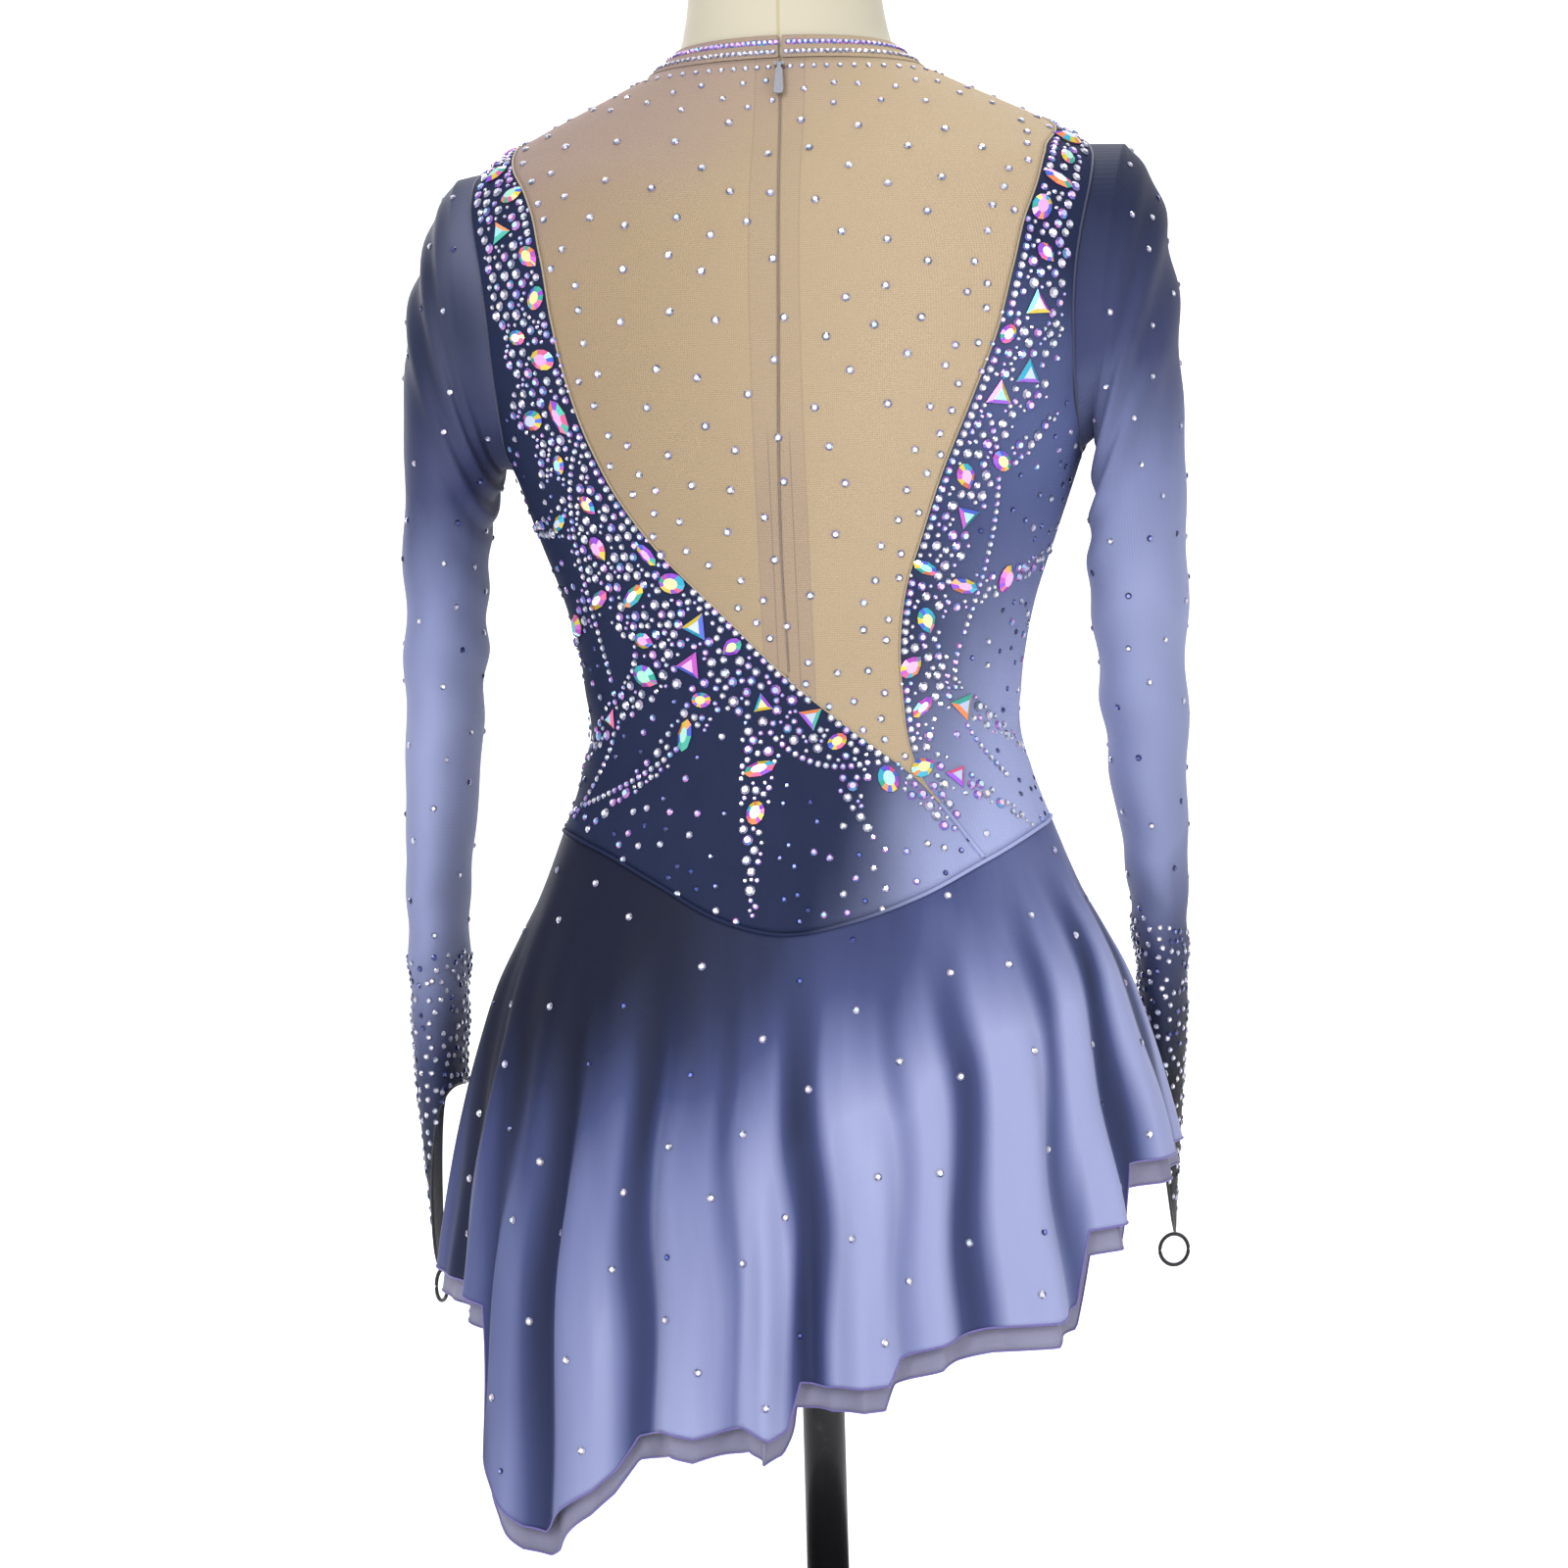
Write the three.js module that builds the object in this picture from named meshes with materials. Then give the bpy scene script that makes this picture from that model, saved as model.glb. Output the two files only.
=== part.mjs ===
// A long-sleeved figure skating dress on a limbless dress form with a short stand.
// Millimetres, +Z up. The back of the dress, with its zip, faces -Y, and +X is its right in the view.
// Angles go round the body in degrees: 0 is the middle of the back (-Y) and 90 is the +X side.
import * as THREE from 'three';

const wallThickness = 1.5;
const seamGap = 0.3;
const formClearance = 2.4;
const collarClearance = 0.8;

const colours = {
  form: 0xe6dfc8,
  mesh: 0xc8b592,
  bodice: 0x2f3658,
  skirt: 0x5d6396,
  underSkirt: 0x9a96b4,
  sleeve: 0x8088b8,
  stones: 0xc9cede,
  cord: 0x1c1d2c,
  tape: 0xb09ab0,
  metal: 0xb9bcc4,
  stand: 0x2a2a2e,
};

// The outer face of the bodice as level sections, from the hip up to the neck.
// Columns: height, half_width, back_depth, front_depth, squareness.
const bodySections = [
  [400, 175, 119, 107, 2.1],
  [440, 154, 112, 99, 2.15],
  [480, 138, 102, 91, 2.2],
  [505, 129, 95, 89, 2.2],
  [530, 123, 90, 88, 2.2],
  [560, 125, 91, 91, 2.2],
  [600, 133, 97, 100, 2.25],
  [640, 147, 103, 117, 2.3],
  [680, 161, 109, 135, 2.45],
  [715, 172, 112, 137, 2.65],
  [750, 181, 113, 124, 2.85],
  [790, 187, 109, 107, 3.0],
  [822, 189, 99, 92, 3.0],
  [843, 184, 87, 80, 2.8],
  [857, 170, 77, 72, 2.6],
  [870, 150, 70, 67, 2.4],
  [883, 124, 64, 63, 2.3],
  [896, 97, 59, 61, 2.2],
  [907, 76, 55, 60, 2.1],
  [918, 64, 52, 59, 2.0],
  [935, 59, 50, 58, 2.0],
  [950, 57, 49, 57, 2.0],
  [970, 56, 49, 56, 2.0],
];

// The outer face of the skirt as level sections without its folds.
// Columns: height, half_width, back_depth, front_depth, squareness.
const skirtSections = [
  [40, 236, 152, 142, 2.05],
  [150, 226, 145, 135, 2.05],
  [225, 216, 139, 129, 2.05],
  [280, 207, 134, 124, 2.05],
  [330, 197, 128, 118, 2.1],
  [360, 189, 125, 114, 2.1],
  [390, 179, 121, 109, 2.1],
  [415, 167, 117, 104, 2.12],
  [440, 154, 112, 99, 2.15],
  [480, 138, 102, 91, 2.2],
];

// The folds of the skirt, as rounded ridges at the hem.
// Columns: angle, rise, spread.
const skirtFolds = [
  [-86, 8, 7], [-69, 8, 5], [-58, 9, 5.5], [-42, 13, 7], [-22, 14, 8],
  [-6, 12, 6], [16, 14, 8], [31, 8, 6], [49, 14, 7], [64, 10, 5],
  [80, 9, 6], [98, 10, 7], [116, 11, 8], [135, 12, 8], [155, 12, 8],
  [176, 12, 8], [197, 12, 8], [217, 12, 8], [237, 12, 8], [256, 10, 7],
];
const foldDepthShift = 5;

// The hem of the outer skirt, in uneven points like a handkerchief.
// Columns: angle, height.
const hemHeights = [
  [-98, 236], [-82, 226], [-69, 219], [-66, 214], [-63, 132], [-58, 110], [-54, 97],
  [-51, 94], [-45, 108], [-39, 120], [-36, 131], [-33, 149], [-25, 154], [-19, 150],
  [-10, 156], [-4, 149], [-1, 153], [2, 178], [8, 176], [20, 177], [23, 190], [30, 196],
  [41, 204], [50, 206], [57, 213], [60, 252], [69, 257], [72, 285], [90, 290], [120, 296],
  [150, 290], [180, 280], [210, 268], [240, 252], [262, 236],
];

// The waist seam, which dips to a point at the back.
// Columns: angle, height.
const waistHeights = [
  [-90, 478], [-72, 475], [-54, 465], [-36, 447], [-18, 427], [0, 418],
  [18, 424], [36, 437], [54, 455], [72, 470], [90, 478],
];

// The edge between the left back panel and the sheer back, from the shoulder to the low point.
// Columns: height, angle.
const leftMeshEdge = [
  [455, 54], [478, 48], [503, 39.5], [530, 21.5], [559, 0.5], [592, -18], [625, -34],
  [656, -43], [689, -47.5], [719, -49.5], [757, -51], [795, -53.5], [830, -60],
  [860, -75], [876, -90],
];

// The edge between the sheer back and the right back panel.
// Columns: height, angle.
const rightMeshEdge = [
  [455, 54], [478, 48], [503, 41.5], [546, 39], [578, 37.5], [605, 38], [634, 41],
  [668, 44], [705, 48], [741, 51.5], [779, 54.5], [811, 58.5], [847, 68], [862, 78], [876, 90],
];

// The centre back line with the zip, which leans a little.
// Columns: height, angle.
const centreBack = [[559, 2], [620, 1.2], [670, 1.6], [766, 3], [876, 3.5], [918, 3.5]];

const armhole = { middle: 771, halfHeight: 87, halfAngle: 24, points: 20 };
const collarBottom = 905;
const collarTop = 918;

// The two sleeves as slanted rings: the ring's outer and inner edge, its middle and its depth in Y.
// Columns: outer_x, outer_z, inner_x, inner_z, middle_y, depth_y.
const leftSleeveRings = [
  [197, 855, 172, 686, 0, 142],
  [208, 841, 174, 679, 1, 136],
  [215, 818, 177, 670, 2, 126],
  [221, 784, 180, 656, 4, 115],
  [226, 745, 183, 642, 6, 105],
  [229, 688, 185, 622, 9, 94],
  [232, 620, 187, 589, 13, 88],
  [234, 563, 191, 550, 17, 84],
  [236, 506, 196, 499, 20, 80],
  [238, 448, 203, 448, 23, 76],
  [238, 391, 206, 390, 26, 72],
  [237, 339, 209, 339, 28, 68],
];
const rightSleeveRings = [
  [196, 857, 170, 692, 0, 142],
  [211, 836, 170, 683, 2, 136],
  [217, 805, 168, 662, 5, 126],
  [219, 760, 166, 643, 10, 114],
  [220, 705, 163, 622, 18, 100],
  [220, 649, 164, 596, 28, 90],
  [218, 582, 167, 551, 42, 84],
  [216, 516, 170, 506, 55, 80],
  [214, 449, 177, 455, 66, 72],
  [212, 393, 181, 405, 74, 66],
  [210, 348, 184, 348, 80, 62],
];
const cuff = { drop: 108, sharpness: 2.0, inward: 10, rows: 3 };
const fingerLoop = { radius: 9, cord: 1.2 };

const stand = { baseRadius: 150, baseHeight: 10, poleRadius: 12, formBottom: 300 };

const mix = THREE.MathUtils.lerp;
const radians = THREE.MathUtils.degToRad;

/** Reads columns of a table at a key by a smooth curve through its rows. */
function readTable(table, key, column = 1) {
  const last = table.length - 2;
  let row = 0;
  while (row < last && key > table[row + 1][0]) row += 1;
  const slopeAt = (index) => {
    const low = table[Math.max(index - 1, 0)];
    const high = table[Math.min(index + 1, table.length - 1)];
    return (high[column] - low[column]) / (high[0] - low[0]);
  };
  const [from, to] = [table[row], table[row + 1]];
  const span = to[0] - from[0];
  const u = THREE.MathUtils.clamp((key - from[0]) / span, 0, 1);
  const rise = to[column] - from[column];
  const bend = u * (1 - u) * span;
  const ease = u * u * (3 - 2 * u);
  return from[column] + rise * ease + bend * ((1 - u) * slopeAt(row) - u * slopeAt(row + 1));
}

/** Reads a table of angles that goes once round, by straight lines between its rows. */
function readRound(table, angle) {
  const start = table[0][0];
  const key = start + THREE.MathUtils.euclideanModulo(angle - start, 360);
  const closed = [...table, [start + 360, table[0][1]]];
  const row = closed.findIndex((entry, index) => key <= closed[index + 1][0]);
  const [from, to] = [closed[row], closed[row + 1]];
  return mix(from[1], to[1], (key - from[0]) / (to[0] - from[0]));
}

/** A point on a level section: a rounded rectangle with a back depth and a front depth. */
function sectionPoint(sections, angle, height) {
  const [halfWidth, backDepth, frontDepth, squareness] = [1, 2, 3, 4].map(
    (column) => readTable(sections, height, column),
  );
  const turn = radians(angle);
  const depth = Math.cos(turn) > 0 ? backDepth : frontDepth;
  const sum = Math.abs(Math.sin(turn) / halfWidth) ** squareness
    + Math.abs(Math.cos(turn) / depth) ** squareness;
  const radius = sum ** (-1 / squareness);
  return new THREE.Vector3(radius * Math.sin(turn), -radius * Math.cos(turn), height);
}

/** Moves a point of a surface along the surface's normal, outwards for a positive distance. */
function movedOut(surface, angle, second, distance, secondStep) {
  const point = surface(angle, second);
  const around = surface(angle + 0.2, second).sub(surface(angle - 0.2, second));
  const along = surface(angle, second + secondStep).sub(surface(angle, second - secondStep));
  return point.addScaledVector(around.cross(along).normalize(), distance);
}

const bodyPoint = (angle, height) => sectionPoint(bodySections, angle, height);
const onBody = (angle, height, distance) => movedOut(bodyPoint, angle, height, distance, 0.5);

/** The height of the waist seam: straight between places that lie 9 degrees apart. */
function waistHeight(angle) {
  const turned = THREE.MathUtils.euclideanModulo(angle + 90, 360) - 90;
  if (turned >= 90) return waistHeights[0][1];
  const from = Math.floor(turned / 9) * 9;
  return mix(readTable(waistHeights, from), readTable(waistHeights, from + 9), (turned - from) / 9);
}

/** A closed wall between an outer and an inner grid of points, with rims along its open edges. */
function wallGeometry(outer, inner, closedRound) {
  const rows = outer.length;
  const columns = outer[0].length;
  const positions = [...outer.flat(), ...inner.flat()].flatMap((point) => point.toArray());
  const index = [];
  const outerAt = (row, column) => row * columns + (column % columns);
  const innerAt = (row, column) => rows * columns + outerAt(row, column);
  const quad = (a, b, c, d) => index.push(a, b, c, a, c, d);
  const steps = closedRound ? columns : columns - 1;
  for (let column = 0; column < steps; column += 1) {
    const next = column + 1;
    for (let row = 0; row < rows - 1; row += 1) {
      quad(outerAt(row, column), outerAt(row + 1, column), outerAt(row + 1, next), outerAt(row, next));
      quad(innerAt(row, column), innerAt(row, next), innerAt(row + 1, next), innerAt(row + 1, column));
    }
    const end = rows - 1;
    quad(outerAt(0, column), outerAt(0, next), innerAt(0, next), innerAt(0, column));
    quad(outerAt(end, column), innerAt(end, column), innerAt(end, next), outerAt(end, next));
  }
  if (!closedRound) {
    const end = columns - 1;
    for (let row = 0; row < rows - 1; row += 1) {
      quad(outerAt(row, 0), innerAt(row, 0), innerAt(row + 1, 0), outerAt(row + 1, 0));
      quad(outerAt(row, end), outerAt(row + 1, end), innerAt(row + 1, end), innerAt(row, end));
    }
  }
  return facingOut(positions, index);
}

/** A geometry whose faces look outwards: all are turned round if its volume comes out negative. */
function facingOut(positions, index) {
  const corner = (entry) => new THREE.Vector3().fromArray(positions, index[entry] * 3);
  let volume = 0;
  for (let entry = 0; entry < index.length; entry += 3) {
    volume += corner(entry).dot(corner(entry + 1).cross(corner(entry + 2)));
  }
  if (volume < 0) index.reverse();
  const geometry = new THREE.BufferGeometry();
  geometry.setAttribute('position', new THREE.Float32BufferAttribute(positions, 3));
  geometry.setIndex(index);
  return geometry;
}

/** A solid body through closed rings, with a flat fan at each end. */
function solidThroughRings(rings) {
  const columns = rings[0].length;
  const positions = rings.flat().flatMap((point) => point.toArray());
  const index = [];
  for (let row = 0; row < rings.length - 1; row += 1) {
    for (let column = 0; column < columns; column += 1) {
      const here = row * columns + column;
      const next = row * columns + ((column + 1) % columns);
      index.push(here, next, next + columns, here, next + columns, here + columns);
    }
  }
  for (const [row, flip] of [[0, true], [rings.length - 1, false]]) {
    const centre = rings[row].reduce((sum, point) => sum.add(point), new THREE.Vector3());
    const centreIndex = positions.length / 3;
    positions.push(...centre.divideScalar(columns).toArray());
    for (let column = 0; column < columns; column += 1) {
      const here = row * columns + column;
      const next = row * columns + ((column + 1) % columns);
      index.push(centreIndex, flip ? next : here, flip ? here : next);
    }
  }
  return facingOut(positions, index);
}

function finish(name, geometry, colour, roughness = 0.8, metalness = 0) {
  const material = new THREE.MeshStandardMaterial({ color: colour, roughness, metalness });
  const mesh = new THREE.Mesh(geometry, material);
  mesh.name = name;
  return mesh;
}

/** A list of evenly spaced values from a first to a last value. */
const spaced = (first, last, steps) => Array.from({ length: steps + 1 }, (_, i) => mix(first, last, i / steps));

/** Shares from 0 to 1 that lie closer together near 0, where the shoulder bends most. */
const closeToStart = (steps) => spaced(0, 1, steps).map((share) => share ** 1.5);

/** Shares from 0 to 1 that lie closer together near both ends. */
const closeToEnds = (steps) => spaced(-1, 1, steps).map(
  (share) => 0.5 + 0.5 * Math.sign(share) * (1 - (1 - Math.abs(share)) ** 1.5),
);

// Rows run from the top of a panel to its bottom. Each has the place of its two ends on the body.
// Panels that share an edge have rows that meet it at the same heights.
const armholeTurns = spaced(0, 180, armhole.points / 2);
const armholeHeights = armholeTurns.map((turn) => armhole.middle + armhole.halfHeight * Math.cos(radians(turn)));
const armholeReach = armholeTurns.map((turn) => armhole.halfAngle * Math.sin(radians(turn)));
const sideHeights = spaced(armhole.middle - armhole.halfHeight, 478, 6).slice(1);
const edgeHeights = [876, 862, 845, 825, 800, 772, 742, 712, 682, 652, 622, 590, 559, 530, 503, 478, 455];
const shoulderHeights = [collarBottom - seamGap, 891, 876];
const halfGap = 0.12;

/** The outer end of each row of a back panel: round the armhole and then down the side seam. */
const outerEnds = [
  ...armholeHeights.map((height, i) => [90 - armholeReach[i], height]),
  ...sideHeights.map((height) => [90, height]),
];

/** A cloth panel on the body between two ends of each row. It gives a wall moved out by a distance. */
function bodyPanel(rows, shares, options = {}) {
  const { outside = 0, thickness = wallThickness, toWaist = false } = options;
  const bottom = rows[rows.length - 1];
  const places = rows.map(([fromAngle, fromHeight, toAngle, toHeight], row) => {
    const rowsUp = rows.length - 1 - row;
    const pull = toWaist ? Math.max(0, 1 - rowsUp / 4) : 0;
    const gap = toWaist && rowsUp === 0 ? seamGap : 0;
    return shares.map((share) => {
      const seamAngle = mix(bottom[0], bottom[2], share);
      const dip = waistHeight(seamAngle) - mix(bottom[1], bottom[3], share);
      return [mix(fromAngle, toAngle, share), mix(fromHeight, toHeight, share) + pull * dip + gap];
    });
  });
  const layer = (distance) => places.map((row) => row.map(([angle, height]) => onBody(angle, height, distance)));
  return wallGeometry(layer(outside), layer(outside - thickness), false);
}

function makeBackPanels() {
  const leftRows = edgeHeights.map((height, i) => [
    -outerEnds[i][0] + halfGap, outerEnds[i][1],
    readTable(leftMeshEdge, height) - halfGap, height,
  ]);
  const rightRows = edgeHeights.map((height, i) => [
    outerEnds[i][0] - halfGap, outerEnds[i][1],
    readTable(rightMeshEdge, height) + halfGap, height,
  ]);
  return [
    finish('back_panel_left', bodyPanel(leftRows, spaced(0, 1, 16), { toWaist: true }), colours.bodice),
    finish('back_panel_right', bodyPanel(rightRows, spaced(0, 1, 8), { toWaist: true }), colours.bodice),
  ];
}

function makeSheerBack() {
  const heights = [...shoulderHeights, ...edgeHeights.slice(1)];
  const centre = (height) => readTable(centreBack, height);
  const leftRows = heights.filter((height) => height >= 559).map((height) => {
    const edge = height >= 876 ? -90 : readTable(leftMeshEdge, height);
    return [edge + halfGap, height, centre(height) - halfGap, height];
  });
  const rightRows = heights.filter((height) => height >= 503).map((height) => {
    const edge = height >= 876 ? 90 : readTable(rightMeshEdge, height);
    const start = height >= 559 ? centre(height) : readTable(leftMeshEdge, height);
    return [edge - halfGap, height, start + halfGap, height];
  });
  return [
    finish('back_mesh_left', bodyPanel(leftRows, closeToStart(10)), colours.mesh),
    finish('back_mesh_right', bodyPanel(rightRows, closeToStart(10)), colours.mesh),
  ];
}

function makeFront() {
  const middleRow = armhole.points / 4;
  const round = ([angle, height], gap = halfGap) => [180 - angle + gap, height, 180 + angle - gap, height];
  const armholeEnds = armholeHeights.map((height, i) => [90 - armholeReach[i], height]);
  const yokeRows = [
    ...shoulderHeights.map((height) => round([90, height])),
    ...armholeEnds.slice(0, middleRow + 1).map((end) => round(end)),
  ];
  const bodiceEnds = [...armholeEnds.slice(middleRow), ...sideHeights.map((height) => [90, height])];
  const bodiceRows = bodiceEnds.map((end) => round(end));
  for (const place of [1, 3]) {
    bodiceRows[0][place] -= 2 * seamGap;
    bodiceRows[bodiceRows.length - 1][place] += seamGap;
  }
  return [
    finish('front_mesh_yoke', bodyPanel(yokeRows, closeToEnds(20)), colours.mesh),
    finish('front_bodice', bodyPanel(bodiceRows, closeToEnds(20)), colours.bodice),
  ];
}

/** A band round the neck that is open by a narrow gap at the zip. */
function makeCollar() {
  const gap = 1.5;
  const angles = spaced(readTable(centreBack, collarTop) + gap, readTable(centreBack, collarTop) + 360 - gap, 36);
  const heights = [collarTop, (collarTop + collarBottom) / 2, collarBottom];
  const layer = (distance) => heights.map((height) => angles.map((angle) => onBody(angle, height, distance)));
  return finish('collar_band', wallGeometry(layer(0.5), layer(0.5 - wallThickness), false), colours.mesh);
}

/** The folds of the skirt at an angle: rounded ridges with hollows between them. */
function foldRise(angle) {
  return skirtFolds.reduce((sum, [ridge, rise, spread]) => {
    const away = THREE.MathUtils.euclideanModulo(angle - ridge + 180, 360) - 180;
    return sum + rise * Math.exp(-((away / spread) ** 2));
  }, -foldDepthShift);
}

/** A point on the outer skirt, from 0 at the waist seam to 1 at the hem. */
function skirtPoint(angle, share, hemDrop = 0) {
  const top = waistHeight(angle) - seamGap;
  const height = mix(top, readRound(hemHeights, angle) - hemDrop, share);
  const point = sectionPoint(skirtSections, angle, height);
  const grown = THREE.MathUtils.smoothstep(top - height, 0, 230);
  const outwards = new THREE.Vector3(point.x, point.y, 0).normalize();
  return point.addScaledVector(outwards, foldRise(angle) * grown);
}

/** One layer of the skirt as a wall right round. Its shares say how far down each row lies. */
function skirtLayer(shares, steps, distances, hemDrop) {
  const surface = (angle, share) => skirtPoint(angle, share, hemDrop);
  const layer = (extra) => shares.map((share, row) => spaced(0, 360, steps).slice(0, -1).map(
    (angle) => movedOut(surface, angle, share, -distances[row] - extra, -0.01),
  ));
  return wallGeometry(layer(0), layer(wallThickness), true);
}

function makeSkirt() {
  const outerShares = [0, 0.1, 0.25, 0.45, 0.7, 1];
  const underShares = [0.05, 0.25, 0.6, 1];
  const underDistances = [2.2, 4.2, 5, 5];
  return [
    finish('skirt_outer', skirtLayer(outerShares, 120, outerShares.map(() => 0), 0), colours.skirt),
    finish('skirt_under', skirtLayer(underShares, 120, underDistances, 13), colours.underSkirt),
  ];
}

/** The armhole's edge on the body, as the first ring of a sleeve. */
function armholeRing(side, inset) {
  return spaced(0, 360, armhole.points).slice(0, -1).map((turn) => {
    const reach = (armhole.halfAngle - inset / 3) * Math.sin(radians(turn));
    const height = armhole.middle + (armhole.halfHeight - inset) * Math.cos(radians(turn));
    return onBody(side * (90 + reach), height, -wallThickness / 2);
  });
}

/** A slanted ring of a sleeve: an ellipse between its outer and inner edge. */
function sleeveRing(side, [outerX, outerZ, innerX, innerZ, middleY, depthY], inset) {
  const outer = new THREE.Vector3(side * outerX, middleY, outerZ);
  const inner = new THREE.Vector3(side * innerX, middleY, innerZ);
  const centre = outer.clone().add(inner).multiplyScalar(0.5);
  const half = outer.clone().sub(centre);
  half.setLength(half.length() - inset);
  return spaced(0, 360, armhole.points).slice(0, -1).map((turn) => centre.clone()
    .addScaledVector(half, Math.cos(radians(turn)))
    .add(new THREE.Vector3(0, (depthY / 2 - inset) * Math.sin(radians(turn)), 0)));
}

/** The rows of a pointed cuff, which hangs from the last ring down over the outer side of the hand. */
function cuffRings(side, lastRing) {
  return spaced(0, 1, cuff.rows).slice(1).map((share) => lastRing.map((point, i) => {
    const turn = radians((360 * i) / lastRing.length);
    const reach = share * ((1 + Math.cos(turn)) / 2) ** cuff.sharpness;
    const inward = -side * cuff.inward * reach;
    const narrow = new THREE.Vector3(inward, 0, -cuff.drop * reach - 8 * share);
    return point.clone().add(narrow);
  }));
}

function makeSleeve(name, side, rings) {
  const layer = (inset) => {
    const tube = rings.map((ring) => sleeveRing(side, ring, inset));
    return [armholeRing(side, 0.6 + inset), ...tube, ...cuffRings(side, tube[tube.length - 1])];
  };
  return finish(name, wallGeometry(layer(0), layer(wallThickness), true), colours.sleeve);
}

/** A small cord loop for the middle finger under the tip of a cuff. */
function makeFingerLoop(name, side, rings, turnAboutZ) {
  const [outerX, outerZ, , , middleY] = rings[rings.length - 1];
  const geometry = new THREE.TorusGeometry(fingerLoop.radius, fingerLoop.cord, 6, 16);
  geometry.rotateX(Math.PI / 2);
  geometry.rotateZ(radians(turnAboutZ));
  const mesh = finish(name, geometry, colours.cord);
  const tip = outerZ - cuff.drop - 8;
  const below = fingerLoop.radius + fingerLoop.cord + seamGap;
  mesh.position.set(side * (outerX - cuff.inward - 0.75), middleY, tip - below);
  return mesh;
}

/** A raised band of stones along one edge of the sheer back, from the panel's points moved out. */
function makeStoneBand(name, edge, side, width) {
  const rows = edgeHeights.slice(2, 14).map((height) => {
    const angle = readTable(edge, height);
    return [angle + side * 1, height, angle + side * width, height];
  });
  const geometry = bodyPanel(rows, spaced(0, 1, 3), { outside: 3.4, thickness: 2.2 });
  return finish(name, geometry, colours.stones, 0.25, 0.2);
}

/** A thin cord along the waist seam. */
function makePiping() {
  const angles = spaced(-90, 270, 60).slice(0, -1);
  const layer = (distance) => [1.5, -1.5].map((up) => angles.map(
    (angle) => onBody(angle, waistHeight(angle) + up, distance),
  ));
  return finish('waist_piping', wallGeometry(layer(2.6), layer(1.1), true), colours.bodice);
}

/** The tape of the hidden zip, behind the two halves of the sheer back. */
function makeZipTape() {
  const halfWidth = 7;
  const rows = [...shoulderHeights, ...edgeHeights.slice(1, 9)].map((height) => {
    const angle = readTable(centreBack, height);
    return [angle - halfWidth, height, angle + halfWidth, height];
  });
  const geometry = bodyPanel(rows, spaced(0, 1, 4), { outside: -wallThickness - seamGap, thickness: 1.1 });
  return finish('zip_tape', geometry, colours.tape);
}

// The slider sits just under the collar on the sloping back. Its pull swings about a pin along X.
const slider = { height: 899, width: 6, length: 9, thickness: 2.2, gap: 0.8 };
const pull = { width: 5.5, length: 17, thickness: 1.2, barrelRadius: 0.9, barrelLength: 2.6, start: 2 };

function makeZipSliderAndPull() {
  const angle = readTable(centreBack, slider.height);
  const seat = onBody(angle, slider.height, slider.gap);
  const above = onBody(angle, slider.height + 6, slider.gap);
  const below = onBody(angle, slider.height - 14, slider.gap);
  const lean = Math.atan2(above.y - below.y, above.z - below.z);
  const place = (geometry, x, out, up) => {
    geometry.translate(x, -out, up);
    geometry.rotateX(-lean);
    geometry.translate(seat.x, seat.y, seat.z);
    return geometry;
  };
  const pinOut = slider.thickness + 1.3;
  const lugHalf = pull.barrelLength / 2 + 0.3;
  const outline = new THREE.Shape();
  outline.moveTo(0, -lugHalf - 1.2);
  outline.lineTo(slider.thickness, -lugHalf - 1.2);
  outline.lineTo(pinOut + 1, -lugHalf - 1.2);
  outline.lineTo(pinOut + 1, -lugHalf);
  outline.lineTo(slider.thickness, -lugHalf);
  outline.lineTo(slider.thickness, lugHalf);
  outline.lineTo(pinOut + 1, lugHalf);
  outline.lineTo(pinOut + 1, lugHalf + 1.2);
  outline.lineTo(0, lugHalf + 1.2);
  const body = new THREE.ExtrudeGeometry(outline, { depth: 2.4, bevelEnabled: false });
  body.rotateZ(-Math.PI / 2);
  const plate = new THREE.Shape();
  const [wide, neck, end] = [pull.width / 2, 1.0, -pull.start - pull.length];
  plate.moveTo(-pull.barrelLength / 2, pull.barrelRadius);
  plate.lineTo(-pull.barrelLength / 2, -pull.barrelRadius);
  plate.lineTo(-neck, -pull.barrelRadius);
  plate.lineTo(-neck, -pull.start);
  plate.lineTo(-wide * 0.7, -pull.start - 1.5);
  plate.lineTo(-wide, end + 2);
  plate.quadraticCurveTo(-wide, end, 0, end);
  plate.quadraticCurveTo(wide, end, wide, end + 2);
  plate.lineTo(wide * 0.7, -pull.start - 1.5);
  plate.lineTo(neck, -pull.start);
  plate.lineTo(neck, -pull.barrelRadius);
  plate.lineTo(pull.barrelLength / 2, -pull.barrelRadius);
  plate.lineTo(pull.barrelLength / 2, pull.barrelRadius);
  const tab = new THREE.ExtrudeGeometry(plate, {
    depth: pull.thickness, bevelEnabled: false, curveSegments: 3,
  });
  tab.translate(0, 0, -pull.thickness / 2);
  tab.rotateX(Math.PI / 2);
  return [
    finish('zip_slider', place(body, 0, 0, -1.2), colours.metal, 0.35, 0.9),
    finish('zip_pull', place(tab, 0, pinOut, 0), colours.metal, 0.35, 0.9),
  ];
}

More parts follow.
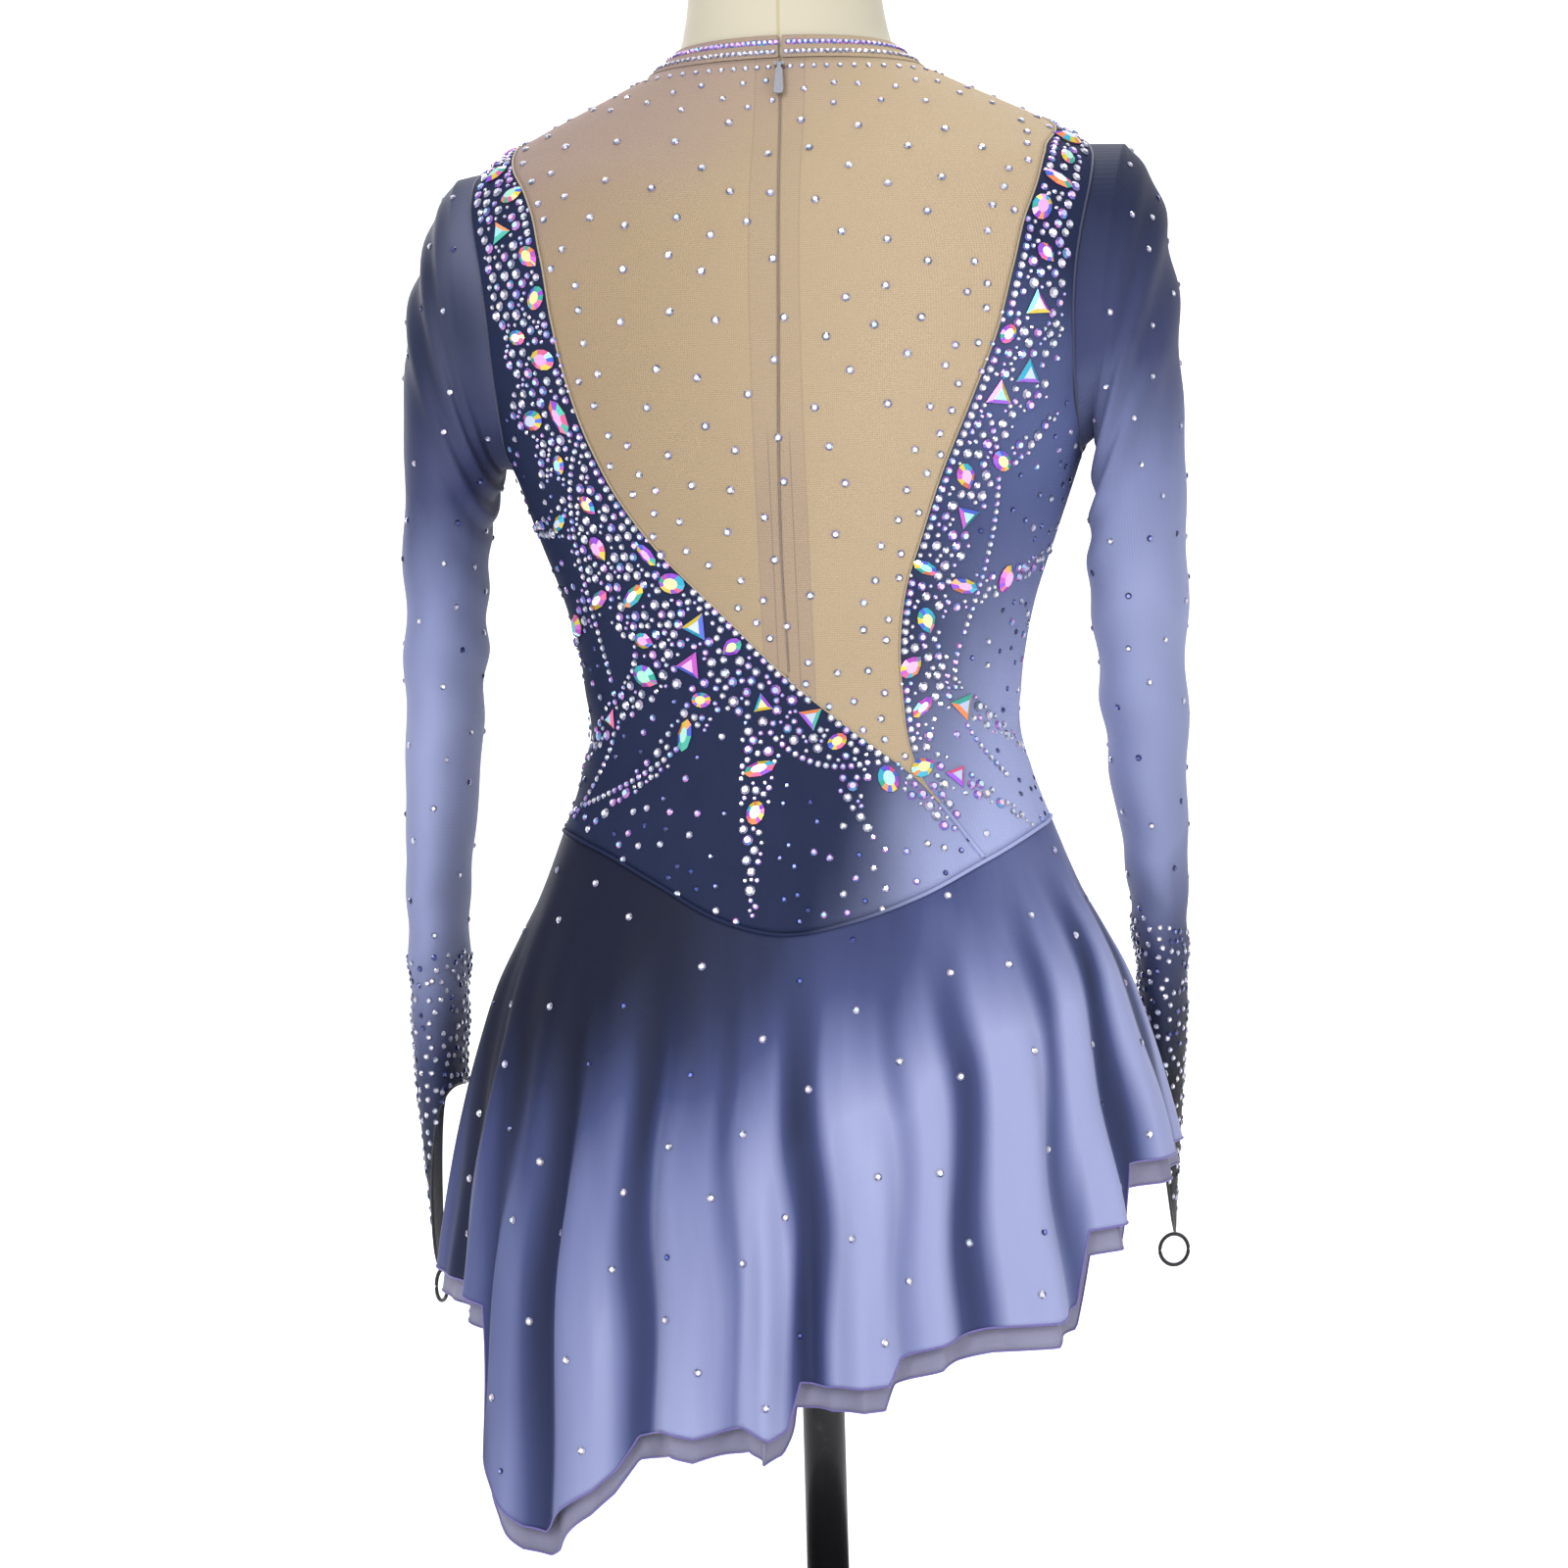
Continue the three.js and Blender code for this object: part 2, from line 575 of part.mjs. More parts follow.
/** The dress form: the body's sections drawn in, with a plain rounded underside and neck top. */
function makeForm() {
  const quarter = [0, 17, 32, 45, 57, 67, 75, 81, 86, 90];
  const half = [...quarter, ...quarter.slice(1, -1).reverse().map((angle) => 180 - angle)];
  const angles = [...half, ...half.map((angle) => 180 + angle)];
  const inset = (height) => {
    const hip = Math.max(0, 480 - height) * 0.22 + THREE.MathUtils.smoothstep(height, 840, 862);
    const neck = THREE.MathUtils.smoothstep(height, 904.5, 907.5);
    return mix(wallThickness + formClearance + hip, wallThickness - 0.5 + collarClearance, neck);
  };
  const heights = [965, 935, 918, 911.5, 908, 904, 891, 876, 862, 845, 825, 800, 772, 742, 712, 682, 650, 615,
    580, 547, 512, 480, 440, 400];
  const rings = heights.map((height) => angles.map((angle) => onBody(angle, height, -inset(height))));
  const drawnIn = (ring, share, height) => ring.map(
    (point) => new THREE.Vector3(point.x * share, point.y * share, height),
  );
  const neckTop = drawnIn(rings[0], 0.85, 970);
  const hip = rings[rings.length - 1];
  const bottom = stand.formBottom;
  return finish('dress_form', solidThroughRings([
    neckTop, ...rings,
    drawnIn(hip, 0.99, bottom + 50), drawnIn(hip, 0.93, bottom + 15), drawnIn(hip, 0.8, bottom),
  ]), colours.form, 0.75);
}

function makeStand() {
  const base = new THREE.LatheGeometry([
    new THREE.Vector2(0, 0),
    new THREE.Vector2(stand.baseRadius, 0),
    new THREE.Vector2(stand.baseRadius, stand.baseHeight * 0.6),
    new THREE.Vector2(stand.baseRadius - 4, stand.baseHeight),
    new THREE.Vector2(0, stand.baseHeight),
  ], 40);
  base.rotateX(Math.PI / 2);
  const bottom = stand.baseHeight + seamGap;
  const poleLength = stand.formBottom - seamGap - bottom;
  const pole = new THREE.CylinderGeometry(stand.poleRadius, stand.poleRadius, poleLength, 24);
  pole.rotateX(Math.PI / 2);
  const poleMesh = finish('stand_pole', pole, colours.stand, 0.4, 0.6);
  poleMesh.position.z = bottom + poleLength / 2;
  return [finish('stand_base', base, colours.stand, 0.4, 0.6), poleMesh];
}

const part = new THREE.Group();
part.add(
  makeForm(),
  ...makeStand(),
  makeCollar(),
  ...makeSheerBack(),
  ...makeBackPanels(),
  ...makeFront(),
  ...makeSkirt(),
  makeSleeve('sleeve_left', -1, leftSleeveRings),
  makeSleeve('sleeve_right', 1, rightSleeveRings),
  makeFingerLoop('finger_loop_left', -1, leftSleeveRings, 80),
  makeFingerLoop('finger_loop_right', 1, rightSleeveRings, 25),
  makeStoneBand('stone_band_left', leftMeshEdge, -1, 9),
  makeStoneBand('stone_band_right', rightMeshEdge, 1, 8),
  makePiping(),
  makeZipTape(),
  ...makeZipSliderAndPull(),
);

export default part;
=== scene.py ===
# %% [markdown]
# # A figure skating dress on a dress form
# The dress is stretch cloth sewn from shaped panels. Its back is sheer mesh between two dark panels,
# and a two-layer skirt with an uneven hem hangs from a pointed waist seam. Thick rows of stones follow
# the mesh's edges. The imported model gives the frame, and every piece below is worked out in millimetres
# from the same section tables as its solid, then written to a mesh in metres.

import math

import bpy
import numpy as np
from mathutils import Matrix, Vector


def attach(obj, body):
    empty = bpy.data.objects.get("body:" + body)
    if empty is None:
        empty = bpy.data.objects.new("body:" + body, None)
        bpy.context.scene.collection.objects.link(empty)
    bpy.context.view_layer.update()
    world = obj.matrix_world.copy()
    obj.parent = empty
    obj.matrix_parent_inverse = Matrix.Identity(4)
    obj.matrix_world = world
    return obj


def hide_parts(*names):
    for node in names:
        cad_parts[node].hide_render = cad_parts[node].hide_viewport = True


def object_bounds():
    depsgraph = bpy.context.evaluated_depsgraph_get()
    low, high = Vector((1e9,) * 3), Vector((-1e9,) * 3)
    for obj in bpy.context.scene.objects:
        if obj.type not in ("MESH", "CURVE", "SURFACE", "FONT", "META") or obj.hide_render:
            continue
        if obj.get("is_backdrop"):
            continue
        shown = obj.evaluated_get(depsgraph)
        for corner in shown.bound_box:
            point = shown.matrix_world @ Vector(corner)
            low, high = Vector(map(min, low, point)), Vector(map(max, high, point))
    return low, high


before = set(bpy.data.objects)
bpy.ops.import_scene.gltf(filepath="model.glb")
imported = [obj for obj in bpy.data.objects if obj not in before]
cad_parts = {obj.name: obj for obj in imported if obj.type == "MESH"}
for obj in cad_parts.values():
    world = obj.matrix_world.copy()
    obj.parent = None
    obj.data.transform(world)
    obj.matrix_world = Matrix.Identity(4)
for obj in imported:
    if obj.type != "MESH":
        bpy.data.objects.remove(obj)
cad_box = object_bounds()
print("the solids reach from", [round(v, 3) for v in cad_box[0]], "to", [round(v, 3) for v in cad_box[1]])

# %% [markdown]
# ## The camera
# The photograph was taken with a level camera about 2.3 m away, 7 degrees to the right of the dress's
# back, and it leans by 1.6 degrees. The lens takes in a square 0.9 m wide at the dress's middle.

# %% Set up the camera
camera_distance = 2.3
camera_height = 0.4996
camera_turn = math.radians(7.0)
camera_lean = math.radians(1.593)
view_width = 0.896
axis_offset = 0.0128


def make_camera():
    """Puts the camera on a circle round the dress and turns it to the dress's middle, with a small lean."""
    data = bpy.data.cameras.new("camera")
    camera = bpy.data.objects.new("camera", data)
    bpy.context.scene.collection.objects.link(camera)
    data.sensor_width = 36
    data.lens = 36 * camera_distance / view_width
    data.shift_x = -axis_offset / view_width
    camera.location = (
        camera_distance * math.sin(camera_turn),
        -camera_distance * math.cos(camera_turn),
        camera_height,
    )
    camera.rotation_euler = (math.pi / 2, camera_lean, camera_turn)
    camera.rotation_mode = "XYZ"
    bpy.context.scene.camera = camera
    return camera


camera = make_camera()
print("lens", round(camera.data.lens, 1), "mm")

# %% [markdown]
# ## Reading tables
# A garment maker keeps a few measures at each height. A smooth curve through them gives every height
# between. The solids were shaped by the same tables, so the pieces here lie where the solids lie.


# %% Read a table by a smooth curve
def read_table(table, key, column=1):
    """A cubic through the rows: its slope at a row is that of the line between the rows beside it."""
    table = np.asarray(table, float)
    keys, values = table[:, 0], table[:, column]
    slopes = np.empty_like(values)
    slopes[1:-1] = (values[2:] - values[:-2]) / (keys[2:] - keys[:-2])
    slopes[0] = (values[1] - values[0]) / (keys[1] - keys[0])
    slopes[-1] = (values[-1] - values[-2]) / (keys[-1] - keys[-2])
    row = np.clip(np.searchsorted(keys, key, side="left") - 1, 0, len(keys) - 2)
    span = keys[row + 1] - keys[row]
    u = np.clip((key - keys[row]) / span, 0, 1)
    ease = u * u * (3 - 2 * u)
    bend = u * (1 - u) * span
    rise = values[row + 1] - values[row]
    return values[row] + rise * ease + bend * ((1 - u) * slopes[row] - u * slopes[row + 1])


def smooth(value, low, high):
    """An eased step: 0 below low, 1 above high and 3u squared minus 2u cubed between."""
    u = np.clip((value - low) / (high - low), 0, 1)
    return u * u * (3 - 2 * u)


def mix(first, second, share):
    """The value a share of the way from the first to the second."""
    return first + (second - first) * share


def bell(value, middle, spread):
    """A bell curve: 1 at its middle and about a third at its spread."""
    return np.exp(-(((value - middle) / spread) ** 2))


# %% The measures of the body and the skirt
# Columns: height, half_width, back_depth, front_depth, squareness.
body_sections = [
    (400, 175, 119, 107, 2.1), (440, 154, 112, 99, 2.15), (480, 138, 102, 91, 2.2),
    (505, 129, 95, 89, 2.2), (530, 123, 90, 88, 2.2), (560, 125, 91, 91, 2.2), (600, 133, 97, 100, 2.25),
    (640, 147, 103, 117, 2.3), (680, 161, 109, 135, 2.45), (715, 172, 112, 137, 2.65),
    (750, 181, 113, 124, 2.85), (790, 187, 109, 107, 3.0), (822, 189, 99, 92, 3.0),
    (843, 184, 87, 80, 2.8), (857, 170, 77, 72, 2.6), (870, 150, 70, 67, 2.4), (883, 124, 64, 63, 2.3),
    (896, 97, 59, 61, 2.2), (907, 76, 55, 60, 2.1), (918, 64, 52, 59, 2.0), (935, 59, 50, 58, 2.0),
    (950, 57, 49, 57, 2.0), (970, 56, 49, 56, 2.0),
]
skirt_sections = [
    (40, 236, 152, 142, 2.05), (150, 226, 145, 135, 2.05), (225, 216, 139, 129, 2.05),
    (280, 207, 134, 124, 2.05), (330, 197, 128, 118, 2.1), (360, 189, 125, 114, 2.1),
    (390, 179, 121, 109, 2.1), (415, 167, 117, 104, 2.12), (440, 154, 112, 99, 2.15),
    (480, 138, 102, 91, 2.2),
]
# Columns: angle, height.
waist_heights = [
    (-90, 478), (-72, 475), (-54, 465), (-36, 447), (-18, 427), (0, 418), (18, 424), (36, 437), (54, 455),
    (72, 470), (90, 478),
]
# Columns: height, angle.
left_mesh_edge = [
    (455, 54), (478, 48), (503, 39.5), (530, 21.5), (559, 0.5), (592, -18), (625, -34), (656, -43),
    (689, -47.5), (719, -49.5), (757, -51), (795, -53.5), (830, -60), (860, -75), (876, -90),
]
right_mesh_edge = [
    (455, 54), (478, 48), (503, 41.5), (546, 39), (578, 37.5), (605, 38), (634, 41), (668, 44), (705, 48),
    (741, 51.5), (779, 54.5), (811, 58.5), (847, 68), (862, 78), (876, 90),
]
centre_back = [(559, 2), (620, 1.2), (670, 1.6), (766, 3), (876, 3.5), (918, 3.5)]
armhole_middle, armhole_half_height, armhole_half_angle = 771, 87, 24
side_height = 478
collar_bottom, collar_top = 905, 918


# %% [markdown]
# ## Surfaces
# Every panel lies on one surface: the body, as a stack of rounded rectangles. A place on it is an angle
# round the body, with 0 in the middle of the back, and a height. What is sewn or stuck onto a panel is
# that place moved out along the surface's normal.


# %% Points on the body
def section_point(sections, angle, height):
    """A superellipse: the radius whose scaled sine and cosine, each to a power, add up to one."""
    half_width, back, front, power = (read_table(sections, height, column) for column in (1, 2, 3, 4))
    turn = np.radians(angle)
    depth = np.where(np.cos(turn) > 0, back, front)
    total = np.abs(np.sin(turn) / half_width) ** power + np.abs(np.cos(turn) / depth) ** power
    radius = total ** (-1 / power)
    return np.stack([radius * np.sin(turn), -radius * np.cos(turn), height + 0 * radius], -1)


def unit(vectors):
    """Each vector divided by its length."""
    return vectors / np.maximum(np.linalg.norm(vectors, axis=-1, keepdims=True), 1e-9)


def frames_on(surface, first, second, first_step, second_step):
    """The point, the normal and the direction along the first parameter, from small central differences."""
    along = unit(surface(first + first_step, second) - surface(first - first_step, second))
    across = surface(first, second + second_step) - surface(first, second - second_step)
    return surface(first, second), unit(np.cross(along, across)), along


def body_point(angle, height):
    """A place on the bodice's outer face."""
    angle, height = np.broadcast_arrays(np.asarray(angle, float), np.asarray(height, float))
    return section_point(body_sections, angle, height)


def body_frames(angle, height, distance=0.0):
    """A place moved out along its normal by a distance, the normal there and the level direction."""
    point, normal, along = frames_on(body_point, angle, height, 0.2, 0.5)
    return point + normal * np.asarray(distance, float)[..., None], normal, along


def on_body(angle, height, distance=0.0):
    """A place on the bodice moved out along its normal by a distance."""
    return body_frames(angle, height, distance)[0]


def waist_height(angle):
    """The height of the waist seam: level at the front and pointed at the back."""
    return read_table(waist_heights, (np.asarray(angle, float) + 90) % 360 - 90)


def armhole_reach(height):
    """How many degrees the armhole takes from a panel at a height: half of an ellipse."""
    up = np.clip((height - armhole_middle) / armhole_half_height, -1, 1)
    return armhole_half_angle * np.sqrt(1 - up * up)


print("the waist is", round(2 * float(read_table(body_sections, 530.0)), 0), "mm wide")


# %% Meshes from grids
def make_mesh(name, points, faces, material, node=None, smooth_faces=True):
    """A piece from points in millimetres and groups of faces, with its finish and the solid it stands for."""
    mesh = bpy.data.meshes.new(name)
    points = np.asarray(points, float).reshape(-1, 3) * 0.001
    mesh.from_pydata(points.tolist(), [], [face for group in faces for face in group.tolist()])
    mesh.polygons.foreach_set("use_smooth", np.full(len(mesh.polygons), smooth_faces))
    mesh.update()
    mesh.materials.append(material)
    piece = bpy.data.objects.new(name, mesh)
    bpy.context.scene.collection.objects.link(piece)
    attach(piece, "dress")
    if node:
        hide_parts(node)
    return piece


def grid_faces(rows, columns, closed=False):
    """Four corners for each cell of a grid of points, with the last column joined to the first if closed."""
    steps = columns if closed else columns - 1
    row, column = np.meshgrid(np.arange(rows - 1), np.arange(steps), indexing="ij")
    following = (column + 1) % columns
    corners = [row * columns + column, (row + 1) * columns + column]
    corners += [(row + 1) * columns + following, row * columns + following]
    return np.stack(corners, -1).reshape(-1, 4)


cut_sizes = {}


def measure_cut(name, points, places, closed):
    """A cut's size in metres: its longest row, all round if closed, by its height or its longest column."""
    ring = np.concatenate([points, points[:, :1]], axis=1) if closed else points
    across = np.linalg.norm(np.diff(ring, axis=1), axis=-1).sum(1).max()
    down = np.linalg.norm(np.diff(points, axis=0), axis=-1).sum(0).max()
    height = np.ptp(places[..., 1])
    cut_sizes[name] = (round(float(across) * 0.001, 4), round(float(min(down, height)) * 0.001, 4))


def cloth(name, node, points, places, thickness, slot, material, closed=False):
    """A sheet of cloth through a grid of points, top row first, with a UV map of its places in metres."""
    measure_cut(name, points, places, closed)
    rows, columns = points.shape[:2]
    faces = grid_faces(rows, columns, closed)
    piece = make_mesh(name, points, [faces], material, node)
    layer = piece.data.uv_layers.new(name="cut")
    flat = np.asarray(places, float).reshape(-1, 2)[faces.reshape(-1)]
    if closed:
        wraps = (faces % columns == 0) & np.roll((faces % columns == columns - 1), 2, axis=1)
        width = (places[0, 1, 0] - places[0, 0, 0]) * columns
        flat[wraps.reshape(-1), 0] += width
    layer.data.foreach_set("uv", (flat * 0.001).reshape(-1))
    thicken = piece.modifiers.new("wall", "SOLIDIFY")
    thicken.thickness = thickness * 0.001
    thicken.offset = -1
    return piece


# %% [markdown]
# ## Shader arithmetic
# A finish is mostly sums: a dye that fades across the body, streaks that follow the folds, a weave. One
# small class wraps a socket, so such sums are written as Python, and each operator adds a Math node.


# %% A socket that can be added and multiplied
class Shade:
    """One output socket of a material, with Python's operators on it."""

    def __init__(self, tree, socket=None):
        self.tree = tree
        self.socket = socket

    def node(self, kind, settings=(), inputs=(), output=0):
        """Adds a node: its settings first, then the values or links of its inputs."""
        made = self.tree.nodes.new(kind)
        for name, value in dict(settings).items():
            if name == "stops":
                ramp = made.color_ramp
                while len(ramp.elements) < len(value):
                    ramp.elements.new(0.5)
                for element, (position, colour) in zip(ramp.elements, value):
                    element.position = position
                    element.color = colour
            else:
                setattr(made, name, value)
        for name, value in dict(inputs).items():
            if isinstance(value, Shade):
                self.tree.links.new(value.socket, made.inputs[name])
            else:
                made.inputs[name].default_value = value
        return Shade(self.tree, made.outputs[output])

    def math(self, operation, first, second=0.0):
        return self.node("ShaderNodeMath", {"operation": operation}, {0: first, 1: second})

    def __add__(self, other):
        return self.math("ADD", self, other)

    def __radd__(self, other):
        return self.math("ADD", other, self)

    def __sub__(self, other):
        return self.math("SUBTRACT", self, other)

    def __rsub__(self, other):
        return self.math("SUBTRACT", other, self)

    def __mul__(self, other):
        return self.math("MULTIPLY", self, other)

    def __rmul__(self, other):
        return self.math("MULTIPLY", other, self)

    def step(self, low, high, to_low=0.0, to_high=1.0):
        """An eased step of this value between a low and a high one."""
        settings = {"interpolation_type": "SMOOTHSTEP"}
        values = {"Value": self, "From Min": low, "From Max": high, "To Min": to_low, "To Max": to_high}
        return self.node("ShaderNodeMapRange", settings, values)

    def blend(self, first, second):
        """Mixes two colours, with this value as the share of the second."""
        return self.node("ShaderNodeMix", {"data_type": "RGBA"}, {0: self, 6: first, 7: second}, 2)

    def axes(self):
        """The three parts of this vector."""
        parts = self.tree.nodes.new("ShaderNodeSeparateXYZ")
        self.tree.links.new(self.socket, parts.inputs[0])
        return [Shade(self.tree, output) for output in parts.outputs]

    def stretched(self, scale):
        """This vector scaled along each axis."""
        return self.node("ShaderNodeMapping", (), {"Vector": self, "Scale": scale})

    def noise(self, scale, detail=3.0, roughness=0.5):
        values = {"Vector": self, "Scale": scale, "Detail": detail, "Roughness": roughness}
        return self.node("ShaderNodeTexNoise", (), values)

    def bump(self, strength, distance):
        """A normal bent by this value as a height."""
        return self.node("ShaderNodeBump", (), {"Height": self, "Strength": strength, "Distance": distance})


def dye(code, alpha=1.0):
    """A colour code as the linear numbers that a shader takes."""
    parts = [int(code[i : i + 2], 16) / 255 for i in (1, 3, 5)]
    return tuple(p / 12.92 if p <= 0.04045 else ((p + 0.055) / 1.055) ** 2.4 for p in parts) + (alpha,)


def begin_finish(name, **constants):
    """A new material with constant values set on its shader, and places on the object as a vector."""
    material = bpy.data.materials.new(name)
    material.use_nodes = True
    shader = material.node_tree.nodes["Principled BSDF"]
    for key, value in constants.items():
        shader.inputs[key.replace("_", " ")].default_value = value
    return material, Shade(material.node_tree).node("ShaderNodeTexCoord", output="Object")


def feed(material, **values):
    """Links each value to the shader's socket of that name, and gives the material back."""
    shader = material.node_tree.nodes["Principled BSDF"]
    for key, value in values.items():
        value.tree.links.new(value.socket, shader.inputs[key.replace("_", " ")])
    return material


# %% [markdown]
# ## The cloths
# Stretch cloth is dyed by hand in fading colours: the bodice from dark navy to periwinkle at one hip, the
# skirt the same way with soft streaks along its folds, and the sleeves from navy through pale blue to black
# cuffs. Painted shade darkens the hollows of the skirt's folds, and painted highlights lighten streaks of the
# skirt and patches of the sleeves. The lower skirt is plain grey lilac and the sheer mesh a fine net in skin
# colour. A fade is a ramp over a sum of the place on the object and some noise, and a knit shows as tiny ribs
# along the cut.

# %% Dyes and finishes of the cloths
def on_cut(place):
    """Places on the flat cut of a piece, from its UV map."""
    return place.node("ShaderNodeTexCoord", output="UV")


def knit(place, size=0.0011):
    """Ribs of a stretch knit: waves along and across the cut, whose period is 0.32 over the node's scale."""
    waves = {"Vector": on_cut(place), "Scale": 0.16 / size}
    ribs = place.node("ShaderNodeTexWave", {"bands_direction": "X"}, waves)
    rows = place.node("ShaderNodeTexWave", {"bands_direction": "Y"}, waves)
    return ribs * 0.6 + rows * 0.4


def finish_bodice():
    """Navy that fades to periwinkle towards the lower right: by height there and by place across the back."""
    material, place = begin_finish(
        "bodice cloth", Roughness=0.7, Sheen_Weight=0.0, Specular_IOR_Level=0.15,
    )
    x, _, z = place.axes()
    streak = place.stretched((14, 14, 5)).noise(1.0) - 0.5
    across = (x + streak * 0.05 + (0.5 - z) * 0.3).step(0.03, 0.13)
    low = (z + streak * 0.03).step(0.66, 0.53)
    right_side = (x + streak * 0.06).step(0.05, 0.16) * (z + streak * 0.1).step(0.8, 0.68)
    colour = right_side.blend(dye("#18213c"), dye("#59638f"))
    colour = (across * low).blend(colour, dye("#a3abd2"))
    colour = (place.stretched((60, 60, 20)).noise(1.0) * 0.15).blend(colour, dye("#3c4570"))
    return feed(material, Base_Color=colour, Normal=knit(place).bump(0.25, 0.0004))


def finish_skirt():
    """Navy at the waist and the upper left to periwinkle below, with painted shade in the hollows of the
    folds and painted highlights on lighter streaks.
    """
    material, place = begin_finish(
        "skirt cloth", Roughness=0.6, Sheen_Weight=0.08, Sheen_Roughness=0.35, Specular_IOR_Level=0.2,
    )
    x, _, z = place.axes()
    streak = place.stretched((26, 26, 2.2)).noise(1.0, 4.0) - 0.5
    broad = place.stretched((8, 8, 3)).noise(1.0, 2.0) - 0.5
    share = x.step(-0.12, 0.02, 0.0, 0.1) + x.step(0.02, 0.14, 0.0, 0.16) + x * 1.4
    share = share + z.step(0.41, 0.27, 0.0, 0.25) + (0.385 - z) * 1.2
    share = (share + streak * 0.25 + broad * 0.35) * 1.7 + 0.14
    share = share.math("MINIMUM", share, 1.0)
    # Painted shade: the attribute read here is low in the hollows of the folds and darkens the colour there.
    fold = place.node("ShaderNodeAttribute", {"attribute_name": "fold"}, (), "Fac")
    share = share * (fold * 0.55 + 0.34) + (fold - 0.45) * 0.3
    stops = [
        (0.0, dye("#0e132a")), (0.2, dye("#1f2746")), (0.45, dye("#3d4570")), (0.7, dye("#69719b")),
        (1.0, dye("#9197be")),
    ]
    colour = share.node("ShaderNodeValToRGB", {"stops": stops}, {"Fac": share})
    # Painted highlight: pale lilac streaks on the lighter parts of the skirt.
    light = (streak + broad).step(0.15, 0.5, 0.0, 0.4) * share.step(0.4, 0.9)
    colour = light.blend(colour, dye("#b1b7d4"))
    return feed(material, Base_Color=colour, Normal=knit(place, 0.0008).bump(0.15, 0.0003))


def finish_under_skirt():
    """Thin grey-lilac cloth that lets some light through, with a purple overlocked edge made apart."""
    material, place = begin_finish("under skirt cloth", Roughness=0.7, Sheen_Weight=0.1)
    streak = place.stretched((30, 30, 2)).noise(1.0)
    return feed(
        material, Base_Color=streak.blend(dye("#605f7c"), dye("#9796ae")), Alpha=streak * 0.1 + 0.85,
        Normal=knit(place).bump(0.2, 0.0003),
    )


def finish_sleeve(side):
    """Navy at the shoulder, periwinkle along the arm and black at the pointed cuff, by height, with painted
    sheen in patches.
    """
    material, place = begin_finish(
        f"sleeve cloth {side}", Roughness=0.65, Sheen_Weight=0.04, Sheen_Roughness=0.4,
        Specular_IOR_Level=0.2,
    )
    streak = place.stretched((22, 22, 5)).noise(1.0, 4.0) - 0.5
    height = place.axes()[2] + streak * 0.07 + (-0.045 if side == "right" else 0.015)
    stops = [
        (0.0, dye("#0a0a10")), (0.05, dye("#12131c")), (0.11, dye("#262b40")), (0.18, dye("#3a4060")),
        (0.28, dye("#7f86ab")), (0.5, dye("#8a91b6")), (0.62, dye("#757da4")), (0.74, dye("#393f63")),
        (0.86, dye("#1c2440")), (1.0, dye("#192038")),
    ]
    share = height.node("ShaderNodeMapRange", (), {"Value": height, "From Min": 0.25, "From Max": 0.85})
    colour = share.node("ShaderNodeValToRGB", {"stops": stops}, {"Fac": share})
    # Painted highlight: pale patches of sheen along the arm, away from the cuff.
    painted_sheen = place.stretched((9, 9, 4)).noise(1.0, 2.0).step(0.55, 0.8, 0.0, 0.3) * share.step(0.25, 0.5)
    colour = painted_sheen.blend(colour, dye("#a2a6c6"))
    return feed(material, Base_Color=colour, Normal=knit(place).bump(0.25, 0.0004))


def finish_mesh():
    """A net in skin colour, lighter to the right by painted light, with a mauve tint high on the left, and
    the zip's tapes showing through it.
    """
    material, place = begin_finish(
        "sheer mesh", Roughness=0.75, Sheen_Weight=0.05, Specular_IOR_Level=0.2,
    )
    x, y, z = place.axes()
    net = {"Vector": on_cut(place), "Scale": 850.0, "Randomness": 0.2}
    hole = place.node("ShaderNodeTexVoronoi", {"feature": "F1"}, net).step(0.22, 0.42)
    cloud = place.stretched((10, 10, 8)).noise(1.0)
    tint = (z - x * 0.6 + cloud * 0.12).step(0.9, 1.02, 0.0, 0.5)
    # Painted light: the net is lighter towards the right side.
    side = (x + cloud * 0.05).step(-0.12, 0.12)
    colour = side.blend(dye("#9b876c"), dye("#b39f82"))
    colour = tint.blend(colour, dye("#96808a"))
    off = x.math("ABSOLUTE", x - 0.0035)
    behind = (y * -1.0).step(0.0, 0.01)
    tape_share = off.step(0.0145, 0.013, 0.0, 0.26) * z.step(0.64, 0.72, 1.0, 0.35) * behind
    colour = tape_share.blend(colour, dye("#846f72"))
    edge = off.math("ABSOLUTE", off - 0.0138).step(0.0007, 0.0002, 0.0, 0.2)
    inner = off.math("ABSOLUTE", off - 0.006).step(0.0007, 0.0002, 0.0, 0.35) * z.step(0.7, 0.68)
    colour = ((edge + inner) * behind).blend(colour, dye("#6d5d5c"))
    return feed(material, Base_Color=colour, Alpha=hole * 0.2 + 0.78, Normal=hole.bump(0.3, 0.0004))


bodice_cloth = finish_bodice()
skirt_cloth = finish_skirt()
under_cloth = finish_under_skirt()
sleeve_cloths = {side: finish_sleeve(side) for side in ("left", "right")}
mesh_cloth = finish_mesh()
print("cloth finishes:", [material.name for material in bpy.data.materials])

# %% [markdown]
# ## The dress form and its stand
# A dress form is a hard body under a fine cream knit, with a seam down its middle. It is the body's
# sections drawn in by the cloth's thickness and a little air. The stand is a turned steel base and pole.


# %% The dress form
def form_inset(height):
    """How far the form lies inside the cloth: more at the hip, and close at the neck."""
    hip = np.maximum(0, 480 - height) * 0.22 + smooth(height, 840, 862)
    return mix(3.9 + hip, 1.5, smooth(height, 904.5, 907.5))


